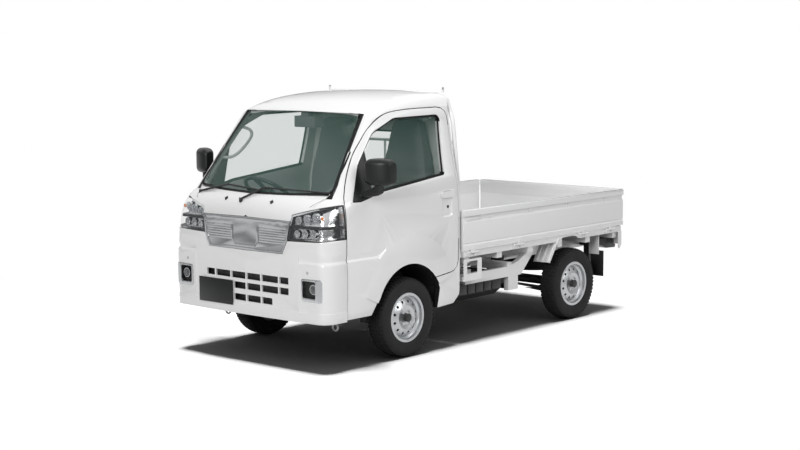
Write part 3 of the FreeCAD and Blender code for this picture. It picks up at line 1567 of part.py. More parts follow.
def gate_eye(axis, place, across_it, leaf):
    """A hinge's moving half: an eye round the pin with a leaf up the gate."""
    eye = rod(axis, (place - 22, place + 22), across_it, 8)
    hole = rod(axis, (place - 23, place + 23), across_it, S["hinge_pin_radius"] + S["pin_clearance"])
    return cut(fuse(eye, leaf), hole)


def rope_hook(x, side):
    """A plate in the recessed band with a hook that opens upwards."""
    return [
        box((x - 26, x + 26), span_on(side, half_width - 16, half_width - 11),
            (gate_top - 68, gate_top - 46)),
        box((x - 9, x + 9), span_on(side, half_width - 12, half_width - 1),
            (gate_top - 66, gate_top - 60)),
        box((x - 9, x + 9), span_on(side, half_width - 5, half_width - 1),
            (gate_top - 64, gate_top - 50)),
    ]


def gate_latch(front, side):
    """The latch's base and lever at the gate's front end."""
    return [
        box((front - 200, front - 14), span_on(side, half_width - 16, half_width - 9),
            (gate_top - 84, gate_top - 47)),
        rod("x", (front - 182, front - 60), (side * (half_width - 6), gate_top - 63), 5),
        box((front - 60, front - 36), span_on(side, half_width - 12, half_width - 3),
            (gate_top - 74, gate_top - 52)),
    ]


def side_gate(side):
    """A drop side with its rope hooks, its latch and its hinges' eyes."""
    front = bed_front + 19
    back = bed_back - 2
    section = [(side * y, z) for y, z in gate_section(half_width, bed_half + 1, 1)]
    pieces = [slab("x", section, (back, front))]
    for x in hinge_places():
        leaf = box((x - 22, x + 22), span_on(side, pivot_y - 6, half_width),
                   (pivot_height, gate_bottom + 18))
        pieces.append(gate_eye("x", x, (side * pivot_y, pivot_height), leaf))
    for distance in (308, 753, 1234, 1713):
        pieces += rope_hook(front - distance, side)
    pieces += gate_latch(front, side)
    return node(side_name("gate", side), fuse(*pieces))


def tailgate():
    """The rear gate between the side gates, with two hinge eyes."""
    inner = bed_back - 6
    reach = (-bed_half + 10, bed_half - 10)
    pieces = [slab("y", gate_section(tail, inner, -1), reach)]
    for y in TAILGATE_HINGES:
        leaf = box((tail + 8, tail + 20), (y - 22, y + 22), (pivot_height, gate_bottom + 18))
        pieces.append(gate_eye("y", y, (tail_pivot_x, pivot_height), leaf))
    return node("tailgate", fuse(*pieces))


def guard_frame():
    """The hoop that guards the cab's back, with its cross bars and pegs."""
    x = float(bed_front) + 9
    radius = 14.0
    top = float(S["overall_height"]) - 40
    foot = float(gate_top) - 12 + float(slack)
    leg = float(bed_half) - 28
    points = [Vector(x, leg, foot), Vector(x, leg, 1110), Vector(x, 628, 1560),
              Vector(x, 560, top), Vector(x, -560, top), Vector(x, -628, 1560),
              Vector(x, -leg, 1110), Vector(x, -leg, foot)]
    bends = [0, 400, 260, 90, 90, 260, 400, 0]
    spine = bent_path(points, bends)
    profile = Part.Wire([Part.makeCircle(radius, points[0], Vector(0, 0, 1))])
    hoop = Part.Wire(spine).makePipeShell([profile], True, False)
    bars = [Part.makeCylinder(11, 2 * leg, Vector(x, -leg, 1085), Vector(0, 1, 0)),
            Part.makeCylinder(11, 1290, Vector(x, -645, 1400), Vector(0, 1, 0))]
    for y in (-300, 0, 300):
        bars.append(Part.makeCylinder(9, 1400 - 1085, Vector(x, y, 1085), Vector(0, 0, 1)))
    for y in (-542, 542):
        bars.append(Part.makeCylinder(7, 50, Vector(x, y, top - 10), Vector(0, 0, 1)))
    return node("guard_frame", shaped(hoop.fuse(bars)))


def bent_path(points, radii):
    """Straight runs joined by arcs, open at both ends."""
    edges = []
    last = points[0]
    for index in range(1, len(points) - 1):
        here = points[index]
        before = (points[index - 1] - here).normalize()
        after = (points[index + 1] - here).normalize()
        half = before.getAngle(after) / 2
        reach = radii[index] / math.tan(half)
        first = here + before * reach
        end = here + after * reach
        middle = (before + after).normalize()
        centre = here + middle * (radii[index] / math.sin(half))
        edges.append(Part.LineSegment(last, first).toShape())
        edges.append(Part.Arc(first, centre - middle * radii[index], end).toShape())
        last = end
    edges.append(Part.LineSegment(last, points[-1]).toShape())
    return edges


# Build everything

cab_shell()
windscreen()
back_window()
doors()
door_windows()
door_mirrors()
front_panel()
bumper()
fog_lamps()
headlights()
headlight_covers()
grille()
nose_backing()
cab_floor()
dashboard()
steering_wheel()
seats()
cab_fittings()
wipers()
front_plate()
chassis_frame()
drivetrain()
rear_axle_assembly()
leaf_springs()
front_suspension()
knuckle(1)
knuckle(-1)
wheels()
fuel_tank()
exhaust()
spare_wheel()
mudguards()
rear_lamps()
tail_lenses()
bed_floor()
side_gate(1)
side_gate(-1)
tailgate()
guard_frame()

doc.recompute()
for thing in doc.Objects:
    if "Invalid" in thing.State or "Error" in thing.State:
        raise RuntimeError("failed: %s %s" % (thing.Label, thing.State))
os.makedirs("parts", exist_ok=True)
for name, item in NODES.items():
    shape = item.Shape
    if shape.isNull() or not shape.isValid():
        raise RuntimeError("bad shape: %s" % name)
    shape.exportStep("parts/%s.step" % name)
    limits = shape.BoundBox
    print("%-18s solids %d volume %.0f cm3 x %.0f..%.0f y %.0f..%.0f z %.0f..%.0f" % (
        name, len(shape.Solids), shape.Volume / 1000, limits.XMin, limits.XMax, limits.YMin,
        limits.YMax, limits.ZMin, limits.ZMax))
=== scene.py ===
# %% [markdown]
# # A kei truck, dressed in Blender
# The truck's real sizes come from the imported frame: every piece of it is already in place, in
# metres, with +X forward, +Y to its left and +Z up. This script adds the finish of each surface and
# the pieces that need a softer or finer shape than the frame holds.

# %% Load the frame
import json
import math

import bpy
from mathutils import Matrix, Vector
from mathutils.bvhtree import BVHTree

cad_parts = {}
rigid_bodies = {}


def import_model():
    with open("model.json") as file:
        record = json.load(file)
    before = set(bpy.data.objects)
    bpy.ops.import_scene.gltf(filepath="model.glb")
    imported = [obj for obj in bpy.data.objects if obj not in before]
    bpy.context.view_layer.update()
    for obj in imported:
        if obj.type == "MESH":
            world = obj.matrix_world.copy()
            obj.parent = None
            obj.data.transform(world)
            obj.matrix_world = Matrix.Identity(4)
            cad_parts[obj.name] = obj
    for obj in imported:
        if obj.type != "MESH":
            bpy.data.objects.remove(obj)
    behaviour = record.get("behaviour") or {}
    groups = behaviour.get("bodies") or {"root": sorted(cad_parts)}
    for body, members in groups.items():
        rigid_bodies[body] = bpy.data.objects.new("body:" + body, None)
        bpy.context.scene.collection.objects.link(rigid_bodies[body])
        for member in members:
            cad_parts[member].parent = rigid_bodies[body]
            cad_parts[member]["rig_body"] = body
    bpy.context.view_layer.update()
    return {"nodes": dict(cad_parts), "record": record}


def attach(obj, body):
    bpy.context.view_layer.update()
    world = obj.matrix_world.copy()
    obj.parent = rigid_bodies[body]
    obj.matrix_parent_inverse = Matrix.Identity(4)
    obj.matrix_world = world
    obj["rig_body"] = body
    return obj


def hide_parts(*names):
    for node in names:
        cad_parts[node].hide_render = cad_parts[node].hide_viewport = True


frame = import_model()
nodes = frame["nodes"]


# %% [markdown]
# ## The camera
# The photograph was taken from the front left with a long lens. The camera's place, heading and
# focal length were worked out from the truck's known sizes, and the tiny shift is the photograph's
# framing.

# %% Camera
CAMERA_PLACE = Vector((8.7036, 7.6060, 2.1195))
CAMERA_HEADING = math.radians(221.38)
CAMERA_PITCH = math.radians(-6.449)
CAMERA_ROLL = math.radians(-0.361)
CAMERA_LENS = 71.33
SENSOR_WIDTH = 36.0
PHOTO_SHIFT = (-0.00925, -0.00976)
CLIP_START = 0.1
CLIP_END = 200.0


def make_camera():
    """A camera that looks along its heading, tipped down and rolled a little."""
    ahead = Vector((math.cos(CAMERA_PITCH) * math.cos(CAMERA_HEADING),
                    math.cos(CAMERA_PITCH) * math.sin(CAMERA_HEADING),
                    math.sin(CAMERA_PITCH)))
    right = ahead.cross(Vector((0, 0, 1))).normalized()
    up = right.cross(ahead)
    rolled_right = right * math.cos(CAMERA_ROLL) + up * math.sin(CAMERA_ROLL)
    rolled_up = up * math.cos(CAMERA_ROLL) - right * math.sin(CAMERA_ROLL)
    bpy.ops.object.camera_add(location=CAMERA_PLACE)
    camera = bpy.context.object
    camera.name = "photo_camera"
    turn = Matrix((rolled_right, rolled_up, -ahead)).transposed()
    camera.matrix_world = Matrix.Translation(CAMERA_PLACE) @ turn.to_4x4()
    camera.data.lens = CAMERA_LENS
    camera.data.sensor_width = SENSOR_WIDTH
    camera.data.shift_x, camera.data.shift_y = PHOTO_SHIFT
    camera.data.clip_start = CLIP_START
    camera.data.clip_end = CLIP_END
    bpy.context.scene.camera = camera


make_camera()
print("camera lens", CAMERA_LENS)

# %% [markdown]
# ## The world
# The world is plain white to the camera and through glass. Glossy rays meet a grey horizon that
# rises to white, which gives the panels darker reflections. The light that the world throws on
# paint is lower still and fades towards the horizon, so that white panels keep their shading.

# %% World
bpy.context.scene.view_settings.view_transform = "Standard"
WORLD_LIGHT = 0.34
HORIZON_TONE = 0.10
HORIZON_RISE = (0.02, 0.6)
MIRROR_HORIZON = 0.16
MIRROR_RISE = (0.0, 0.35)


def by_height(tree, low, rise):
    """A grey that rises from low near the horizon to white above."""
    where = tree.nodes.new("ShaderNodeTexCoord")
    split = tree.nodes.new("ShaderNodeSeparateXYZ")
    tree.links.new(where.outputs["Generated"], split.inputs["Vector"])
    sky = tree.nodes.new("ShaderNodeValToRGB")
    first, last = sky.color_ramp.elements
    first.position, first.color = rise[0], (low, low, low, 1)
    last.position, last.color = rise[1], (1, 1, 1, 1)
    tree.links.new(split.outputs["Z"], sky.inputs["Fac"])
    return sky.outputs["Color"]


def background(tree, strength, colour=None):
    """One of the world's faces, white where no colour is given."""
    shader = tree.nodes.new("ShaderNodeBackground")
    shader.inputs["Color"].default_value = (1, 1, 1, 1)
    shader.inputs["Strength"].default_value = strength
    if colour:
        tree.links.new(colour, shader.inputs["Color"])
    return shader.outputs["Background"]


def mixed(tree, factor, first, second):
    """One shader or the other."""
    mix = tree.nodes.new("ShaderNodeMixShader")
    tree.links.new(factor, mix.inputs["Fac"])
    tree.links.new(first, mix.inputs[1])
    tree.links.new(second, mix.inputs[2])
    return mix.outputs["Shader"]


def make_world():
    """White behind the truck, a graded sky in its reflections and a soft light on its paint."""
    world = bpy.data.worlds.new("studio")
    bpy.context.scene.world = world
    world.use_nodes = True
    tree = world.node_tree
    tree.nodes.clear()
    path = tree.nodes.new("ShaderNodeLightPath")
    light = background(tree, WORLD_LIGHT, by_height(tree, HORIZON_TONE, HORIZON_RISE))
    mirrored = background(tree, 1.0, by_height(tree, MIRROR_HORIZON, MIRROR_RISE))
    white = background(tree, 1.0)
    on_paint = mixed(tree, path.outputs["Is Glossy Ray"], light, mirrored)
    through_glass = mixed(tree, path.outputs["Is Transmission Ray"], on_paint, white)
    seen = mixed(tree, path.outputs["Is Camera Ray"], through_glass, white)
    output = tree.nodes.new("ShaderNodeOutputWorld")
    tree.links.new(seen, output.inputs["Surface"])


make_world()
print("world light", WORLD_LIGHT)

# %% [markdown]
# ## The floor
# A grey floor takes the truck's shadow and turns to plain white further out. A lamp of its own,
# straight above, lights it to white and draws the truck's outline as a shadow. The camera and
# glossy rays see that floor, and other rays see a darker one, so that little light comes back up.

# %% Floor
FLOOR_SIZE = 60
FLOOR_TONE = 0.36
FLOOR_BOUNCE = 0.09
FADE_FROM = 2.3
FADE_TO = 4.4


def matte(tree, tone):
    """A matte grey shader."""
    shader = tree.nodes.new("ShaderNodeBsdfDiffuse")
    shader.inputs["Color"].default_value = (tone, tone, tone, 1)
    return shader.outputs["BSDF"]


def further_out(tree):
    """A value that rises from 0 near the truck to 1 further out."""
    place = tree.nodes.new("ShaderNodeTexCoord")
    distance = tree.nodes.new("ShaderNodeVectorMath")
    distance.operation = "LENGTH"
    tree.links.new(place.outputs["Object"], distance.inputs[0])
    fade = tree.nodes.new("ShaderNodeMapRange")
    fade.interpolation_type = "SMOOTHSTEP"
    fade.inputs["From Min"].default_value = FADE_FROM
    fade.inputs["From Max"].default_value = FADE_TO
    tree.links.new(distance.outputs["Value"], fade.inputs["Value"])
    return fade.outputs["Result"]


def make_floor():
    """A wide floor that takes the truck's shadow and turns plain white further out."""
    bpy.ops.mesh.primitive_plane_add(size=FLOOR_SIZE, location=(0, 0, 0))
    floor = bpy.context.object
    floor.name = "studio_floor"
    material = bpy.data.materials.new("studio_floor")
    material.use_nodes = True
    tree = material.node_tree
    tree.nodes.clear()
    path = tree.nodes.new("ShaderNodeLightPath")
    white = tree.nodes.new("ShaderNodeEmission")
    white.inputs["Strength"].default_value = 1.0
    faded = mixed(tree, further_out(tree), matte(tree, FLOOR_TONE), white.outputs["Emission"])
    others = mixed(tree, path.outputs["Is Glossy Ray"], matte(tree, FLOOR_BOUNCE), faded)
    seen = mixed(tree, path.outputs["Is Camera Ray"], others, faded)
    output = tree.nodes.new("ShaderNodeOutputMaterial")
    tree.links.new(seen, output.inputs["Surface"])
    floor.data.materials.append(material)
    return floor


floor = make_floor()
print("floor", FLOOR_SIZE, "metres wide")

# %% [markdown]
# ## The lamps
# Three soft boxes light the truck and leave the floor out. The floor's own lamp, a sun straight
# above, lights nothing else.

# %% Lamps
FLOOR_LAMP = 10.5
FLOOR_LAMP_WIDTH = math.radians(14)
SOFT_LAMPS = (
    ("overhead", (-0.4, 0.2, 5.5), (0, 0, 0), (6.0, 4.0), 150),
    ("front_left", (7.5, 3.0, 3.4), (0.4, 0, 0.8), (3.0, 2.5), 300),
    ("near_side", (-0.5, 7.0, 3.6), (0.4, 0, 0.8), (4.0, 2.0), 140),
)


def light_for(lamp, state):
    """Let a lamp light only the floor, or all but the floor."""
    group = bpy.data.collections.new(lamp.name + "_lights")
    group.objects.link(floor)
    lamp.light_linking.receiver_collection = group
    group.collection_objects[0].light_linking.link_state = state


def floor_lamp():
    """The lamp that draws the shadow, straight above and a little wide."""
    bpy.ops.object.light_add(type="SUN", location=(0, 0, 6))
    lamp = bpy.context.object
    lamp.name = "floor_lamp"
    lamp.data.energy = FLOOR_LAMP
    lamp.data.angle = FLOOR_LAMP_WIDTH
    light_for(lamp, "INCLUDE")


def soft_lamp(name, place, aim, size, power):
    """A square soft box that points at a spot and leaves the floor to its own lamp."""
    bpy.ops.object.light_add(type="AREA", location=place)
    lamp = bpy.context.object
    lamp.name = name
    lamp.data.shape = "RECTANGLE"
    lamp.data.size, lamp.data.size_y = size
    lamp.data.energy = power
    lamp.rotation_mode = "QUATERNION"
    lamp.rotation_quaternion = (Vector(aim) - Vector(place)).to_track_quat("-Z", "Y")
    light_for(lamp, "EXCLUDE")


floor_lamp()
for row in SOFT_LAMPS:
    soft_lamp(*row)
print("lamps", 1 + len(SOFT_LAMPS))

# %% [markdown]
# ## Finishes
# Each finish is a small node tree on the shader: a colour that wanders a little, a roughness with
# its own noise and a fine bump. All of them read Object coordinates, so a pattern keeps its place
# on its piece.

# %% Finish helpers
FINISHES = {}
TONE_SCALE = 3.0
GLOSS_SCALE = 14.0
GLASS_SCALE = 2.0
TONE_STOPS = (0.3, 0.7)
GLOSS_WANDER = 0.15
GRAIN_DEPTH = 0.001


class Finish:
    """A material with its shader at hand."""

    def __init__(self, name):
        self.material = bpy.data.materials.new(name)
        self.material.use_nodes = True
        self.tree = self.material.node_tree
        self.shader = self.tree.nodes["Principled BSDF"]
        self.place = self.tree.nodes.new("ShaderNodeTexCoord").outputs["Object"]
        FINISHES[name] = self.material

    def set(self, **values):
        """Set plain sockets by name, with _ for a space."""
        for key, value in values.items():
            self.shader.inputs[key.replace("_", " ")].default_value = value

    def link(self, source, socket):
        """Feed a socket of the shader."""
        self.tree.links.new(source, self.shader.inputs[socket])

    def noise(self, scale, detail=4.0):
        """A noise over the piece's own coordinates."""
        texture = self.tree.nodes.new("ShaderNodeTexNoise")
        texture.inputs["Scale"].default_value = scale
        texture.inputs["Detail"].default_value = detail
        self.tree.links.new(self.place, texture.inputs["Vector"])
        return texture.outputs["Fac"]

    def tones(self, source, colour, wander):
        """A colour that is a little darker and lighter from place to place."""
        node = self.tree.nodes.new("ShaderNodeValToRGB")
        for element, position, factor in zip(node.color_ramp.elements, TONE_STOPS,
                                             (1 - wander, 1 + wander)):
            element.position = position
            element.color = (*shade(colour, factor), 1)
        self.tree.links.new(source, node.inputs["Fac"])
        return node.outputs["Color"]

    def spread(self, source, low, high):
        """A value squeezed into a range."""
        node = self.tree.nodes.new("ShaderNodeMapRange")
        node.inputs["To Min"].default_value = low
        node.inputs["To Max"].default_value = high
        self.tree.links.new(source, node.inputs["Value"])
        return node.outputs["Result"]

    def bump(self, source, strength):
        """A fine relief from a value."""
        node = self.tree.nodes.new("ShaderNodeBump")
        node.inputs["Strength"].default_value = strength
        node.inputs["Distance"].default_value = GRAIN_DEPTH
        self.tree.links.new(source, node.inputs["Height"])
        self.tree.links.new(node.outputs["Normal"], self.shader.inputs["Normal"])


def shade(colour, factor):
    """A lighter or darker version of a colour."""
    return tuple(min(1.0, channel * factor) for channel in colour)


def plain_finish(name, colour, roughness, wander=0.06, grain=300.0, relief=0.05, metallic=0.0,
                 coat=0.0, shine=0.5):
    """A painted, moulded or metal finish with small changes of tone, gloss and relief."""
    finish = Finish(name)
    finish.link(finish.tones(finish.noise(TONE_SCALE), colour, wander), "Base Color")
    finish.link(finish.spread(finish.noise(GLOSS_SCALE), roughness * (1 - GLOSS_WANDER),
                              roughness * (1 + GLOSS_WANDER)), "Roughness")
    finish.bump(finish.noise(grain, 2.0), relief)
    finish.set(Metallic=metallic, Coat_Weight=coat, Coat_Roughness=0.04,
               Specular_IOR_Level=shine)


def glass_finish(name, colour, clear, mirror):
    """Tinted glass: see-through from the front and denser towards a grazing look."""
    finish = Finish(name)
    facing = finish.tree.nodes.new("ShaderNodeLayerWeight")
    facing.inputs["Blend"].default_value = 0.35
    finish.link(finish.spread(facing.outputs["Facing"], clear, mirror), "Alpha")
    finish.link(finish.tones(finish.noise(GLASS_SCALE), colour, 0.05), "Base Color")
    finish.set(Roughness=0.02, IOR=1.5, Coat_Weight=1.0, Coat_Roughness=0.01)


# %% [markdown]
# ## The truck's finishes
# Paint is glossy white under a clear coat. Plastics and rubber are near black with little shine,
# metals are grey, and the panes let most of the view through.

# %% Paint, plastics, metals, rubber, cloth and glass
plain_finish("paint", (0.84, 0.845, 0.84), 0.3, wander=0.004, grain=420, relief=0.004, coat=0.8)
plain_finish("trim", (0.36, 0.38, 0.385), 0.6, wander=0.04, grain=500, relief=0.15)
plain_finish("headliner", (0.52, 0.53, 0.52), 0.85, wander=0.03, grain=900, relief=0.3)
plain_finish("black_plastic", (0.014, 0.014, 0.015), 0.42, wander=0.15, grain=520, relief=0.12,
             shine=0.35)
# Near black: the real seals, window borders and underseal, and also painted shade on the edge faces
# in the door gaps and on the tubes along the front panel's seams.
plain_finish("seal_and_painted_shade", (0.008, 0.008, 0.008), 0.6, wander=0.15, grain=300, relief=0.1, shine=0.2)
plain_finish("grey_plastic", (0.10, 0.105, 0.11), 0.6, wander=0.1, grain=600, relief=0.3)
plain_finish("gloss_black", (0.010, 0.011, 0.011), 0.36, wander=0.1, grain=300, relief=0.02,
             shine=0.25)
plain_finish("chrome", (0.43, 0.44, 0.45), 0.24, wander=0.03, grain=200, relief=0.01,
             metallic=1.0)
plain_finish("reflector", (0.62, 0.63, 0.64), 0.14, wander=0.25, grain=120, relief=0.7,
             metallic=1.0)
plain_finish("chassis", (0.018, 0.018, 0.018), 0.55, wander=0.2, grain=120, relief=0.15)
plain_finish("engine", (0.30, 0.30, 0.31), 0.5, wander=0.1, grain=90, relief=0.4, metallic=0.8)
plain_finish("wheel_silver", (0.42, 0.43, 0.44), 0.34, wander=0.04, grain=700, relief=0.04,
             metallic=0.85)
plain_finish("rubber", (0.011, 0.011, 0.012), 0.75, wander=0.2, grain=260, relief=0.2,
             shine=0.25)
plain_finish("fabric", (0.17, 0.18, 0.185), 0.9, wander=0.12, grain=1400, relief=0.6)
plain_finish("lamp_red", (0.35, 0.01, 0.012), 0.15, wander=0.1, grain=100, relief=0.02, coat=1.0)
plain_finish("amber", (0.75, 0.22, 0.02), 0.2, wander=0.1, grain=100, relief=0.1, coat=1.0)
plain_finish("steel", (0.36, 0.35, 0.34), 0.45, wander=0.12, grain=160, relief=0.15,
             metallic=0.9)
plain_finish("sensor_grey", (0.5, 0.5, 0.5), 0.5, wander=0.03, grain=300, relief=0.05)
glass_finish("glass", (0.10, 0.27, 0.215), 0.07, 0.22)
glass_finish("lamp_clear", (0.45, 0.48, 0.50), 0.02, 0.15)
glass_finish("lens", (0.26, 0.28, 0.30), 0.25, 0.70)
print(len(FINISHES), "finishes")

# %% [markdown]
# ## A finish for every node
# The record names a material slot for each node of the frame, and each slot has one finish.

# %% Finish the nodes
SLOT_FINISH = {
    "body_paint": "paint", "black_plastic": "black_plastic", "grey_plastic": "grey_plastic",
    "gloss_black": "gloss_black", "chrome_trim": "chrome", "lamp_clear": "lamp_clear",
    "lamp_red": "lamp_red", "window_glass": "glass", "chassis_black": "chassis",
    "engine_metal": "engine", "wheel_silver": "wheel_silver", "tyre_rubber": "rubber",
    "seat_fabric": "fabric", "muffler_steel": "steel",
}
NODE_SLOT = {row["node"]: row["material_slot"] for row in frame["record"]["subparts"]}


def finish_node(name, finish):
    """Give a node of the frame one finish all over."""
    slots = nodes[name].data.materials
    slots.clear()
    slots.append(FINISHES[finish])


for node_name, slot_name in NODE_SLOT.items():
    finish_node(node_name, SLOT_FINISH[slot_name])
print(len(NODE_SLOT), "nodes have a finish")

# %% [markdown]
# ## Smooth panels
# A node of the frame is loose flat triangles. A pressed panel is a smooth skin with small rounded
# edges, so a copy of the node is welded, shaded smooth up to its sharp edges and given a narrow
# bevel there.

# %% Helpers for meshes
WELD_DISTANCE = 0.00002
FLAT_ANGLE = math.radians(0.6)
SHARP_ANGLE = math.radians(28.0)


def deselect():
    """Nothing selected and nothing active."""
    bpy.ops.object.select_all(action="DESELECT")
    bpy.context.view_layer.objects.active = None


def select_only(piece):
    """One piece selected and active, so that an operator acts on it alone."""
    deselect()
    piece.select_set(True)
    bpy.context.view_layer.objects.active = piece


def apply_modifier(piece, kind, **settings):
    """Put a modifier on the active piece, set it and apply it."""
    modifier = piece.modifiers.new(kind.lower(), kind)
    for key, value in settings.items():
        setattr(modifier, key, value)
    bpy.ops.object.modifier_apply(modifier=modifier.name)


def body_of_node(name):
    """The body that carries a node."""
    return nodes[name]["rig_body"]


def welded_copy(name, title, merge_flat=False):
    """A copy of a node's mesh as one welded skin, its flat neighbours merged or none selected."""
    piece = bpy.data.objects.new(title, nodes[name].data.copy())
    bpy.context.scene.collection.objects.link(piece)
    select_only(piece)
    bpy.ops.object.mode_set(mode="EDIT")
    bpy.ops.mesh.select_all(action="SELECT")
    bpy.ops.mesh.remove_doubles(threshold=WELD_DISTANCE)
    if merge_flat:
        bpy.ops.mesh.dissolve_limited(angle_limit=FLAT_ANGLE)
    else:
        bpy.ops.mesh.select_all(action="DESELECT")
    bpy.ops.object.mode_set(mode="OBJECT")
    return piece


def smooth_copy(name, bevel=0.0012):
    """A welded, smooth-shaded copy of a node that stands for it."""
    piece = welded_copy(name, name + "_skin", merge_flat=True)
    if bevel > 0:
        apply_modifier(piece, "BEVEL", width=bevel, segments=2, limit_method="ANGLE",
                       angle_limit=SHARP_ANGLE)
    bpy.ops.object.shade_smooth_by_angle(angle=SHARP_ANGLE)
    piece.data.materials.clear()
    piece.data.materials.append(FINISHES[SLOT_FINISH[NODE_SLOT[name]]])
    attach(piece, body_of_node(name))
    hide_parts(name)
    return piece


def paint_faces(piece, finish, wanted):
    """Give a finish to the faces that a test picks, and count them."""
    mesh = piece.data
    mesh.materials.append(FINISHES[finish])
    index = len(mesh.materials) - 1
    picked = [face for face in mesh.polygons if wanted(face)]
    for face in picked:
        face.material_index = index
    return len(picked)


def extent(mesh, face, axis):
    """How far a face reaches along an axis."""
    along = [mesh.vertices[index].co[axis] for index in face.vertices]
    return max(along) - min(along)


# %% [markdown]
# ## Panels with one finish
# These nodes need nothing more than the smooth skin. The pegs on top of the guard frame are black.

# %% Smooth copies
PEGS_FROM = 1.7635
SMOOTH_NODES = [
    "front_panel", "mirror_left", "mirror_right", "guard_frame", "gate_left", "gate_right",
    "tailgate", "bed_floor", "dashboard", "steering_wheel", "headlight_covers",
    "fuel_tank", "wipers", "plate_front", "cab_fittings", "mudguards", "rear_lamps",
    "tail_lenses", "drivetrain", "rear_axle", "exhaust", "spare_wheel", "knuckle_left",
    "knuckle_right", "frame", "nose_backing",
]
for node_name in SMOOTH_NODES:
    smooth_copy(node_name)
pegs = paint_faces(bpy.data.objects["guard_frame_skin"], "black_plastic",
                   lambda face: face.center.z > PEGS_FROM)
print(len(SMOOTH_NODES), "smooth panels,", pegs, "faces on the roof pegs")

# %% [markdown]
# ## The cab and its doors
# The painted skin is glossy. What faces the room inside is grained trim. The deep edges round the
# doors and their windows are painted near black as painted shade, for the shadow in the gaps round
# the panels, and so draw the thin dark lines there. A door's mesh is cut off at the side edge of
# the windscreen, so that nothing of it stands behind the pane.

# %% Tests for faces of the cab
EDGE_DEPTHS = (0.018, 0.09)
EDGE_LEAN = 0.45
CAB_CORE = (Vector((0.45, -0.45, 0.55)), Vector((1.25, 0.45, 1.48)))
INWARD = 0.4
DOOR_ZONE_X = (0.36, 1.52)
DOOR_ZONE_Y = 0.45
DOOR_ZONE_TOP = 1.662
ROOF_FROM = 1.5
ROOF_LEVEL = 0.8


def is_deep_edge(mesh, face):
    """An edge face across a panel's thickness, on a side of the cab."""
    shallow, deep = EDGE_DEPTHS
    return abs(face.normal.y) < EDGE_LEAN and shallow < extent(mesh, face, 1) < deep


def looks_inward(face):
    """A face that looks towards the nearest place in the core of the cab."""
    low, high = CAB_CORE
    nearest = Vector([min(max(face.center[axis], low[axis]), high[axis]) for axis in range(3)])
    inward = (nearest - face.center).normalized()
    return face.normal.dot(inward) > INWARD


def is_shaded_door_edge(mesh, face):
    """A deep edge of the cab's shell beside a door, and no part of the roof: it gets painted shade.
    """
    place = face.center
    in_zone = (DOOR_ZONE_X[0] < place.x < DOOR_ZONE_X[1] and abs(place.y) > DOOR_ZONE_Y
               and place.z < DOOR_ZONE_TOP)
    on_roof = face.normal.z > ROOF_LEVEL and place.z > ROOF_FROM
    return in_zone and not on_roof and is_deep_edge(mesh, face)


# %% [markdown]
# ## Doors, shell and floor of the cab
# What lies behind the windscreen is cut from each door with a wedge whose outer face follows the
# screen's side edge. The faces are painted after the cut.

# %% Cab shell and doors
SCREEN_EDGE = ((0.640, 1.090), (0.548, 1.640))
WEDGE_MIDDLE = (1.35, 0, 1.37)
WEDGE_HALF_LENGTH = 0.30
WEDGE_INNER_Y = 0.30


def trim_behind_screen(piece, sign):
    """Cut away what a door has behind the windscreen's side edge."""
    (low_y, low_z), (high_y, high_z) = SCREEN_EDGE
    bpy.ops.mesh.primitive_cube_add(size=1, location=WEDGE_MIDDLE)
    wedge = bpy.context.object
    for vertex in wedge.data.vertices:
        outer = vertex.co.y * sign > 0
        upper = vertex.co.z > 0
        edge = high_y if upper else low_y
        vertex.co = Vector((WEDGE_HALF_LENGTH if vertex.co.x > 0 else -WEDGE_HALF_LENGTH,
                            sign * (edge if outer else WEDGE_INNER_Y),
                            (high_z if upper else low_z) - WEDGE_MIDDLE[2]))
    before = len(piece.data.polygons)
    select_only(piece)
    apply_modifier(piece, "BOOLEAN", operation="DIFFERENCE", solver="EXACT", object=wedge)
    bpy.data.objects.remove(wedge)
    print(piece.name, "faces before and after", before, len(piece.data.polygons))


def dress_door(side, sign):
    """A door with its inner trim, and its deep edges painted near black as painted shade."""
    piece = smooth_copy("door_" + side)
    trim_behind_screen(piece, sign)
    mesh = piece.data
    trim = paint_faces(piece, "trim", looks_inward)
    # The door's edge faces across its thickness are painted near black: painted shade for the gap
    # round the door.
    shaded_edges = paint_faces(piece, "seal_and_painted_shade", lambda face: is_deep_edge(mesh, face))
    print(piece.name, trim, "trim faces", shaded_edges, "seal faces")


def dress_cab():
    """The cab's shell: paint outside, trim inside, painted shade on the edges at the door openings.
    """
    piece = smooth_copy("cab_shell")
    mesh = piece.data
    inside = paint_faces(piece, "headliner", looks_inward)
    # The shell's edge faces beside the door openings are painted near black: painted shade for the
    # door gaps.
    shaded_edges = paint_faces(piece, "seal_and_painted_shade", lambda face: is_shaded_door_edge(mesh, face))
    print(piece.name, inside, "inner faces", shaded_edges, "seal faces")


def dress_floor():
    """The cab's floor: a dark mat inside, black underseal below and in the wheel houses."""
    piece = smooth_copy("cab_floor")
    paint_faces(piece, "seal_and_painted_shade", lambda face: True)
    mat = paint_faces(piece, "grey_plastic", looks_inward)
    print(piece.name, mat, "mat faces")


dress_door("left", 1)
dress_door("right", -1)
dress_cab()
dress_floor()
smooth_copy("front_bumper")

# %% [markdown]
# ## Helpers for new pieces
# A new piece is modelled, set down so that its object stands at the origin, shaded, coloured and
# tied to the body that carries it.

# %% Join, set down, dress and tube
TUBE_ORDER = 3
TUBE_STEPS = 8
TUBE_ROUNDNESS = 3


def join_as(name, pieces):
    """One piece from several."""
    deselect()
    for piece in pieces:
        piece.select_set(True)
    bpy.context.view_layer.objects.active = pieces[0]
    bpy.ops.object.join()
    pieces[0].name = name
    return pieces[0]


def set_down(piece):
    """Put a piece's turn and place into its mesh, so that it stands at the origin."""
    select_only(piece)
    bpy.ops.object.transform_apply(location=True, rotation=True, scale=True)


def dress(piece, finish, body="root", angle=35.0):
    """Shade, colour and place a finished piece."""
    set_down(piece)
    bpy.ops.object.shade_smooth_by_angle(angle=math.radians(angle))
    piece.data.materials.clear()
    piece.data.materials.append(FINISHES[finish])
    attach(piece, body)


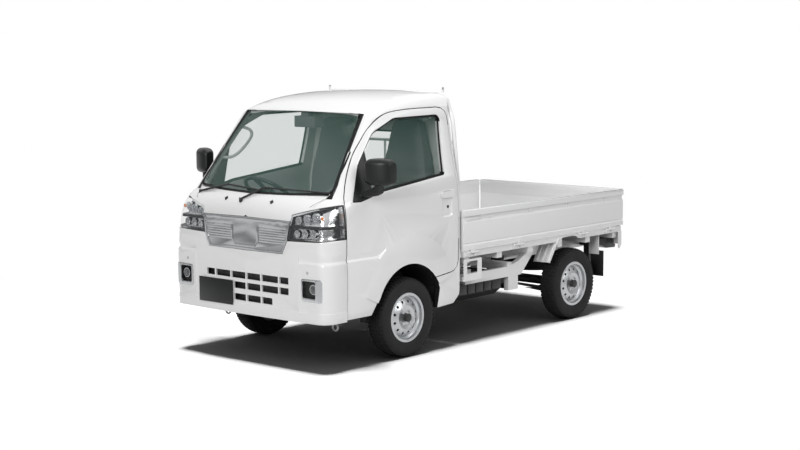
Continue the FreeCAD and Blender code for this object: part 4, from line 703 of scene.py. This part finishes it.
def tube(name, points, radius):
    """A smooth tube along a few points."""
    line = bpy.data.curves.new(name, "CURVE")
    line.dimensions = "3D"
    spline = line.splines.new("NURBS")
    spline.points.add(len(points) - 1)
    for point, place in zip(spline.points, points):
        point.co = (*place, 1)
    spline.use_endpoint_u = True
    spline.order_u = TUBE_ORDER
    spline.resolution_u = TUBE_STEPS
    line.bevel_depth = radius
    line.bevel_resolution = TUBE_ROUNDNESS
    line.use_fill_caps = True
    piece = bpy.data.objects.new(name, line)
    bpy.context.scene.collection.objects.link(piece)
    select_only(piece)
    bpy.ops.object.convert(target="MESH")
    return bpy.context.object


# %% [markdown]
# ## Windows
# The panes are tinted glass. A black border runs round each, made from the pane's own outer skin:
# its edge is inset, the middle is taken out and the ring is given a little thickness. Each row
# holds the way that the outer skin looks, the border's width and its thickness.

# %% Panes and their borders
PANES = (
    ("windscreen", (0.8, 0, 0.6), 0.018, 0.0006),
    ("rear_window", (-1, 0, 0), 0.015, 0.001),
    ("glass_left", (0, 1, 0.2), 0.014, 0.004),
    ("glass_right", (0, -1, 0.2), 0.014, 0.004),
)
OUTER_FACING = 0.35
BORDER_ANGLE = math.radians(30)


def pane_border(name, outward, width, thickness):
    """A dark ring on a pane's outer skin."""
    piece = welded_copy(name, name + "_border")
    for face in piece.data.polygons:
        face.select = face.normal.dot(Vector(outward)) < OUTER_FACING
    bpy.ops.object.mode_set(mode="EDIT")
    bpy.ops.mesh.select_mode(type="FACE")
    bpy.ops.mesh.delete(type="FACE")
    bpy.ops.mesh.select_all(action="SELECT")
    bpy.ops.mesh.inset(thickness=width, use_boundary=True)
    bpy.ops.mesh.delete(type="FACE")
    bpy.ops.object.mode_set(mode="OBJECT")
    apply_modifier(piece, "SOLIDIFY", thickness=thickness, offset=1.0)
    bpy.ops.object.shade_smooth_by_angle(angle=BORDER_ANGLE)
    piece.data.materials.clear()
    piece.data.materials.append(FINISHES["seal_and_painted_shade"])
    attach(piece, body_of_node(name))
    print(piece.name, len(piece.data.polygons), "faces")


for pane, _, _, _ in PANES:
    smooth_copy(pane, bevel=0)
for row in PANES:
    pane_border(*row)

# %% [markdown]
# ## The grip on the right pillar
# A pale moulded handle is fixed by its two feet to the pillar inside. It is one smooth tube whose
# ends sink into the pillar's trim.

# %% Pillar grip
GRIP_RADIUS = 0.0105
GRIP_LINE = (
    (1.1700, -0.6200, 1.5150), (1.1300, -0.5900, 1.5080), (1.0900, -0.5650, 1.4900),
    (1.0760, -0.5580, 1.4550), (1.1150, -0.5580, 1.4050), (1.1950, -0.5600, 1.3400),
    (1.2450, -0.5750, 1.3080), (1.2850, -0.6000, 1.3020), (1.3150, -0.6300, 1.3080),
)
grip = tube("pillar_grip", GRIP_LINE, GRIP_RADIUS)
dress(grip, "headliner")
print("pillar grip", len(grip.data.polygons), "faces")

# %% [markdown]
# ## Cowl tray
# Under the foot of the windscreen a dark tray closes the space between the dashboard and the nose.
# Its top is inset and sunk, so that it keeps a raised rim.

# %% Cowl tray
TRAY_MIDDLE = (1.480, 0.0, 1.050)
TRAY_SIZE = (0.236, 1.190, 0.014)
TRAY_RIM = 0.014
TRAY_SINK = 0.008
UPWARD = 0.9


def cowl_tray():
    """A shallow tray behind the nose."""
    bpy.ops.mesh.primitive_cube_add(size=1, location=TRAY_MIDDLE)
    tray = bpy.context.object
    tray.scale = TRAY_SIZE
    set_down(tray)
    for face in tray.data.polygons:
        face.select = face.normal.z > UPWARD
    bpy.ops.object.mode_set(mode="EDIT")
    bpy.ops.mesh.select_mode(type="FACE")
    bpy.ops.mesh.inset(thickness=TRAY_RIM)
    bpy.ops.mesh.extrude_region_move(TRANSFORM_OT_translate={"value": (0, 0, -TRAY_SINK)})
    bpy.ops.object.mode_set(mode="OBJECT")
    apply_modifier(tray, "BEVEL", width=0.002, segments=2)
    tray.name = "cowl_tray"
    dress(tray, "black_plastic")
    print(tray.name, len(tray.data.polygons), "faces")


cowl_tray()

# %% [markdown]
# ## Headlights
# Each headlight's housing is dark with bright reflectors at the back of its two tiers and on its
# round units. Every unit gets a lens dome and a bright ring. A unit's row holds its place across
# and up, and its radius.

# %% Domes, rings and headlights
LAMP_UNITS = (
    (0.468, 0.968, 0.026), (0.535, 0.982, 0.028), (0.604, 0.994, 0.028),
    (0.462, 0.884, 0.024), (0.530, 0.888, 0.025), (0.600, 0.892, 0.025),
)
INDICATOR = (0.655, 0.992, 0.013)
INDICATOR_REACH = 0.03
UNIT_REACH = 0.8
DOME_SHARE = 0.86
RING_SHARE = 0.93
DOME_FLATNESS = 0.3
RING_FLATNESS = 0.7
RING_THICKNESS = 0.003
TIERS_Y = (0.412, 0.722)
TIERS_Z = ((0.853, 0.921), (0.939, 1.045))
TIER_FACING = 0.2
UNIT_FACING = 0.6
UNIT_MARGIN = 0.002
DOME_BASE = 0.001
FORWARD = math.radians(90)


def front_of(name, y, z, radius):
    """The front-most x of a node's faces near a place on the front view."""
    mesh = nodes[name].data
    near = [face.center.x for face in mesh.polygons
            if (face.center.y - y) ** 2 + (face.center.z - z) ** 2 < radius ** 2
            and face.normal.x > UNIT_FACING]
    return max(near)


def lens_dome(y, z, x, radius):
    """A shallow dome that looks forwards."""
    bpy.ops.mesh.primitive_uv_sphere_add(segments=32, ring_count=16, radius=radius,
                                         location=(x, y, z), rotation=(0, FORWARD, 0))
    dome = bpy.context.object
    dome.scale = (1, 1, DOME_FLATNESS)
    set_down(dome)
    bpy.ops.object.mode_set(mode="EDIT")
    bpy.ops.mesh.select_all(action="SELECT")
    bpy.ops.mesh.bisect(plane_co=(x - DOME_BASE, y, z), plane_no=(1, 0, 0), use_fill=True,
                        clear_inner=True)
    bpy.ops.object.mode_set(mode="OBJECT")
    return dome


def bright_ring(y, z, x, radius):
    """A ring that looks forwards, flattened a little."""
    bpy.ops.mesh.primitive_torus_add(major_radius=radius, minor_radius=RING_THICKNESS,
                                     major_segments=40, minor_segments=10, location=(x, y, z),
                                     rotation=(0, FORWARD, 0))
    ring = bpy.context.object
    ring.scale = (1, 1, RING_FLATNESS)
    return ring


def unit_distance(y, z):
    """How far a place is from the nearest unit's edge; inside a unit it is below zero."""
    return min(math.hypot(abs(y) - unit[0], z - unit[1]) - unit[2] for unit in LAMP_UNITS)


def is_reflector(face):
    """A face that looks forward at the back of a tier, or a unit's side or front."""
    y = abs(face.center.y)
    z = face.center.z
    in_tier = TIERS_Y[0] < y < TIERS_Y[1] and any(low < z < high for low, high in TIERS_Z)
    return unit_distance(y, z) < UNIT_MARGIN or (face.normal.x > TIER_FACING and in_tier)


def dress_headlights():
    """Housings, domes and rings on both sides."""
    piece = smooth_copy("headlights", bevel=0.0008)
    bright = paint_faces(piece, "reflector", is_reflector)
    domes = []
    rings = []
    ambers = []
    for sign in (1, -1):
        for y, z, radius in LAMP_UNITS:
            x = front_of("headlights", sign * y, z, radius * UNIT_REACH)
            domes.append(lens_dome(sign * y, z, x, radius * DOME_SHARE))
            rings.append(bright_ring(sign * y, z, x, radius * RING_SHARE))
        y, z, radius = INDICATOR
        x = front_of("headlights", sign * y, z, INDICATOR_REACH)
        ambers.append(lens_dome(sign * y, z, x, radius))
    dress(join_as("headlight_lenses", domes), "lens")
    dress(join_as("indicator_lenses", ambers), "amber")
    dress(join_as("headlight_rings", rings), "chrome")
    print("headlights", bright, "reflector faces", len(rings), "units")


dress_headlights()

# %% [markdown]
# ## Fog lamps and grille
# The fog lamps have a bright surround, a dark pocket and a dome each. The grille's faces that look
# down under its slats are painted gloss black as painted shade.

# %% Fog lamps and grille
FOG_LAMP = (0.606, 0.540)
FOG_REACH = 0.02
FOG_DOME = 0.027
FOG_RING = 0.030
FOG_POCKET_Y = (0.529, 0.643)
FOG_POCKET_Z = (0.484, 0.595)
FOG_POCKET_FRONT = 1.664
SLATS_Z = (0.77, 0.95)
SLATS_BACK = 1.63
DOWNWARD = -0.35


def in_fog_pocket(face):
    """A face inside a fog lamp's pocket, behind its surround."""
    return (FOG_POCKET_Y[0] < abs(face.center.y) < FOG_POCKET_Y[1]
            and FOG_POCKET_Z[0] < face.center.z < FOG_POCKET_Z[1]
            and face.center.x < FOG_POCKET_FRONT)


def is_shaded_under_slat(face):
    """A face of the grille that looks down between the slats, where painted shade goes."""
    return (face.normal.z < DOWNWARD and SLATS_Z[0] < face.center.z < SLATS_Z[1]
            and face.center.x > SLATS_BACK)


def dress_fog_lamps():
    """Bright surrounds, dark pockets and a dome on each lamp."""
    piece = smooth_copy("fog_lamps", bevel=0.001)
    dark = paint_faces(piece, "black_plastic", in_fog_pocket)
    domes = []
    rings = []
    for sign in (1, -1):
        y, z = sign * FOG_LAMP[0], FOG_LAMP[1]
        x = front_of("fog_lamps", y, z, FOG_REACH)
        domes.append(lens_dome(y, z, x, FOG_DOME))
        rings.append(bright_ring(y, z, x, FOG_RING))
    dress(join_as("fog_lenses", domes), "lens")
    dress(join_as("fog_rings", rings), "chrome")
    print("fog lamps", dark, "dark faces")


dress_fog_lamps()
# The grille's downward faces between the slats are painted gloss black: painted shade under the
# slats.
shade_under_slats = paint_faces(smooth_copy("grille", bevel=0.0008), "gloss_black", is_shaded_under_slat)
print("grille", shade_under_slats, "dark faces under the slats")

# %% [markdown]
# ## Small fittings on the skin
# The lock cylinders, washer nozzles and sensor rings are a few millimetres deep. Along each of the
# front panel's side seams runs a thin near-black tube, painted shade for the gap there. Each is set
# on the skin by a ray that finds the surface, so it touches what carries it. A boss has a radius, a
# depth and a number of sides.

# %% Fittings on doors, panel and bumper
LOCK_PLACE = (0.4705, 0.978)
LOCK_FORM = (0.011, 0.004, 24)
NOZZLE_PLACE = (0.216, 1.072)
NOZZLE_FORM = (0.017, 0.010, 4)
SENSOR_PLACE = (0.571, 0.646)
SENSOR_FORM = (0.0105, 0.0016, 32)
SEAM_START = (0.535, 1.054)
SEAM_REACH = (0.053, 0.049)
SEAM_STEPS = 5
SEAM_RADIUS = 0.0012
BESIDE = 1.0
AHEAD = 2.0
FAR_AHEAD = 2.2


def surface_of(name):
    """A node's triangles, ready for rays."""
    mesh = nodes[name].data
    return BVHTree.FromPolygons([vertex.co for vertex in mesh.vertices],
                                [tuple(face.vertices) for face in mesh.polygons])


def skin_at(name, start, direction):
    """Where a ray meets a node's surface, and the way that the surface faces there."""
    place, normal, _, _ = surface_of(name).ray_cast(Vector(start), Vector(direction))
    if place is None:
        raise RuntimeError("no surface of " + name)
    return place, normal


def front_most(place, surfaces):
    """The first surface that a look from the front meets."""
    hits = [surface.ray_cast(Vector((FAR_AHEAD, *place)), Vector((-1, 0, 0)))[0]
            for surface in surfaces]
    return max([hit for hit in hits if hit], key=lambda hit: hit.x)


def stud(name, skin, form):
    """A low bevelled boss that stands on the skin."""
    place, normal = skin
    radius, depth, sides = form
    bpy.ops.mesh.primitive_cylinder_add(vertices=sides, radius=radius, depth=depth)
    boss = bpy.context.object
    boss.rotation_mode = "QUATERNION"
    boss.rotation_quaternion = normal.to_track_quat("Z", "Y")
    boss.location = place
    set_down(boss)
    apply_modifier(boss, "BEVEL", width=depth * 0.3, segments=2)
    boss.name = name
    return boss


def front_stud(name, node, place, sign, form):
    """A boss on a node's front, on one side of the middle."""
    y, z = place
    return stud(name, skin_at(node, (AHEAD, sign * y, z), (-1, 0, 0)), form)


def seam_line(sign, surfaces):
    """Points along a front panel's side seam, on whatever skin is in front."""
    line = []
    for step in range(SEAM_STEPS + 1):
        share = step / SEAM_STEPS
        y, z = [start + reach * share for start, reach in zip(SEAM_START, SEAM_REACH)]
        line.append(front_most((sign * y, z), surfaces))
    return line


def dress_skin():
    """Lock cylinders, nozzles, sensors and painted seam shade on both sides."""
    nozzles = []
    sensors = []
    seam_shade_tubes = []
    surfaces = [surface_of(name) for name in ("cab_shell", "front_panel")]
    for side, sign in (("left", 1), ("right", -1)):
        door = "door_" + side
        x, z = LOCK_PLACE
        lock = stud("lock_" + side, skin_at(door, (x, sign * BESIDE, z), (0, -sign, 0)), LOCK_FORM)
        dress(lock, "black_plastic", body_of_node(door))
        nozzles.append(front_stud("nozzle", "front_panel", NOZZLE_PLACE, sign, NOZZLE_FORM))
        sensors.append(front_stud("sensor", "front_bumper", SENSOR_PLACE, sign, SENSOR_FORM))
        seam_shade_tubes.append(tube("seam", seam_line(sign, surfaces), SEAM_RADIUS))
    dress(join_as("washer_nozzles", nozzles), "black_plastic")
    dress(join_as("parking_sensors", sensors), "sensor_grey")
    # The thin tubes along the seams are near black: painted shade for the gaps there.
    dress(join_as("painted_seam_shade", seam_shade_tubes), "seal_and_painted_shade")
    print("fittings on the skin", len(nozzles), len(sensors), len(seam_shade_tubes))


dress_skin()

# %% [markdown]
# ## Wheels
# A tyre is a section turned once round its axle, with rows of tread blocks round it. The section
# and the blocks keep inside the outline of the tyre in the frame. The rims are the frame's own
# shapes. A block's row holds its place across, its top, its size, its lean and its skew.

# %% Tyres
TYRE_HALF = (
    (0.0535, 0.1530), (0.0540, 0.1680), (0.0630, 0.1710), (0.0690, 0.1850), (0.0722, 0.2060),
    (0.0718, 0.2240), (0.0690, 0.2400), (0.0620, 0.2510), (0.0500, 0.2575), (0.0300, 0.2615),
    (0.0100, 0.2625),
)
SPIN_STEPS = 96
SEAM_WELD = 0.00005
PITCHES = 58
MIDDLE_BLOCK = (0.0, 0.2677, (0.0215, 0.018, 0.012), 0, 0.25)
SIDE_BLOCKS = (
    (0.024, 0.2670, (0.0225, 0.019, 0.012), -0.06, -0.3),
    (0.050, 0.2618, (0.0200, 0.026, 0.012), -0.32, 0.12),
)


def turned_tyre():
    """The tyre's casing round the Y axis: a closed section, spun a full turn."""
    section = [(y, r) for y, r in TYRE_HALF] + [(-y, r) for y, r in reversed(TYRE_HALF)]
    bpy.ops.mesh.primitive_circle_add(vertices=len(section), radius=0.1)
    casing = bpy.context.object
    for vertex, (y, r) in zip(casing.data.vertices, section):
        vertex.co = (0, y, r)
    bpy.ops.object.mode_set(mode="EDIT")
    bpy.ops.mesh.select_all(action="SELECT")
    bpy.ops.mesh.spin(steps=SPIN_STEPS, angle=math.tau, center=(0, 0, 0), axis=(0, 1, 0))
    bpy.ops.mesh.select_all(action="SELECT")
    bpy.ops.mesh.remove_doubles(threshold=SEAM_WELD)
    bpy.ops.mesh.normals_make_consistent(inside=False)
    bpy.ops.object.mode_set(mode="OBJECT")
    return casing


def tread_block(y, top, size, lean, skew):
    """One rubber block at the top of the tyre."""
    bpy.ops.mesh.primitive_cube_add(size=1, location=(0, y, top - size[2] / 2),
                                    rotation=(lean, 0, skew))
    block = bpy.context.object
    block.scale = size
    return block


def tread():
    """All tread blocks: one pitch, repeated round the axle."""
    blocks = [tread_block(*MIDDLE_BLOCK)]
    for sign in (1, -1):
        for y, top, size, lean, skew in SIDE_BLOCKS:
            blocks.append(tread_block(sign * y, top, size, sign * lean, sign * skew))
    pitch = join_as("tread", blocks)
    set_down(pitch)
    apply_modifier(pitch, "BEVEL", width=0.0012, segments=1)
    bpy.ops.object.empty_add(location=(0, 0, 0), rotation=(0, math.tau / PITCHES, 0))
    turner = bpy.context.object
    select_only(pitch)
    apply_modifier(pitch, "ARRAY", count=PITCHES, use_relative_offset=False,
                   use_object_offset=True, offset_object=turner)
    bpy.data.objects.remove(turner)
    return pitch


# %% [markdown]
# ## Wheels in place
# One tyre's mesh is set at each of the four wheels, on the body that carries it, with a smooth rim
# and a dark domed cap over the hub.

# %% Tyres, rims and hub caps
CAP_Y = 0.7200
CAP_RADIUS = 0.0285
CAP_DEPTH = 0.012


def node_middle(name):
    """The middle of a node's box."""
    corners = [nodes[name].matrix_world @ vertex.co for vertex in nodes[name].data.vertices]
    return Vector([(min(c[axis] for c in corners) + max(c[axis] for c in corners)) / 2
                   for axis in range(3)])


def hub_cap(corner, middle):
    """The dark domed cap over the hub."""
    sign = 1 if corner.endswith("left") else -1
    bpy.ops.mesh.primitive_cylinder_add(vertices=40, radius=CAP_RADIUS, depth=CAP_DEPTH,
                                        location=(middle[0], sign * CAP_Y, middle[2]),
                                        rotation=(math.radians(90), 0, 0))
    cap = bpy.context.object
    apply_modifier(cap, "BEVEL", width=0.004, segments=3)
    cap.name = "hub_cap_" + corner
    dress(cap, "black_plastic", body_of_node("rim_" + corner))


def dress_tyres():
    """The four tyres, rims and hub caps."""
    tyre = join_as("tyre_form", [turned_tyre(), tread()])
    for corner in ("front_left", "front_right", "rear_left", "rear_right"):
        middle = node_middle("tyre_" + corner)
        piece = bpy.data.objects.new("tyre_skin_" + corner, tyre.data.copy())
        bpy.context.scene.collection.objects.link(piece)
        piece.data.transform(Matrix.Translation(middle))
        dress(piece, "rubber", body_of_node("tyre_" + corner), angle=30)
        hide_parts("tyre_" + corner)
        smooth_copy("rim_" + corner, bevel=0.0008)
        hub_cap(corner, middle)
    print("tyre", len(tyre.data.polygons), "faces")
    bpy.data.objects.remove(tyre)


dress_tyres()

# %% [markdown]
# ## Seats
# Each cushion and back starts from its plain solid, a little smaller. It is remeshed, blown up by a
# short cloth run and kept within a few millimetres of where it began, so that it turns out crowned
# and soft.

# %% Padded seats
SEAT_CAPS = (("seat_cushions", 0.010), ("seat_backs", 0.009))
SHRINK_SHARE = 0.75
VOXEL = 0.010
PRESSURE = 4.0
CLOTH_FRAMES = 20
SMOOTH_PASSES = 4
SEAT_ANGLE = 60


def loose_part(name, middle_y):
    """The half of a node that lies on one side, as a piece of its own."""
    piece = welded_copy(name, "%s_%s" % (name, "left" if middle_y > 0 else "right"))
    for vertex in piece.data.vertices:
        vertex.select = vertex.co.y * middle_y < 0
    bpy.ops.object.mode_set(mode="EDIT")
    bpy.ops.mesh.select_mode(type="VERT")
    bpy.ops.mesh.delete(type="VERT")
    bpy.ops.object.mode_set(mode="OBJECT")
    return piece


def run_cloth(piece):
    """Blow a piece up by the pressure inside it, without gravity."""
    cloth = piece.modifiers.new("cloth", "CLOTH")
    cloth.settings.use_pressure = True
    cloth.settings.uniform_pressure_force = PRESSURE
    cloth.settings.effector_weights.gravity = 0.0
    for step in range(1, CLOTH_FRAMES + 1):
        bpy.context.scene.frame_set(step)
    bpy.ops.object.modifier_apply(modifier=cloth.name)
    bpy.context.scene.frame_set(1)


def puff(piece, cap):
    """Blow a solid up like a pad and keep every point within cap of where it began."""
    select_only(piece)
    apply_modifier(piece, "REMESH", mode="VOXEL", voxel_size=VOXEL)
    for vertex in piece.data.vertices:
        vertex.co = vertex.co - vertex.normal * (cap * SHRINK_SHARE)
    start = [vertex.co.copy() for vertex in piece.data.vertices]
    run_cloth(piece)
    for vertex, origin in zip(piece.data.vertices, start):
        moved = vertex.co - origin
        if moved.length > cap:
            vertex.co = origin + moved.normalized() * cap
    apply_modifier(piece, "SMOOTH", iterations=SMOOTH_PASSES)
    apply_modifier(piece, "SUBSURF", levels=1)


def dress_seats():
    """Both seats' cushions and backs."""
    for name, cap in SEAT_CAPS:
        for middle_y in (1, -1):
            piece = loose_part(name, middle_y)
            puff(piece, cap)
            dress(piece, "fabric", angle=SEAT_ANGLE)
            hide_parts(name)
            print(piece.name, len(piece.data.polygons), "faces")


dress_seats()
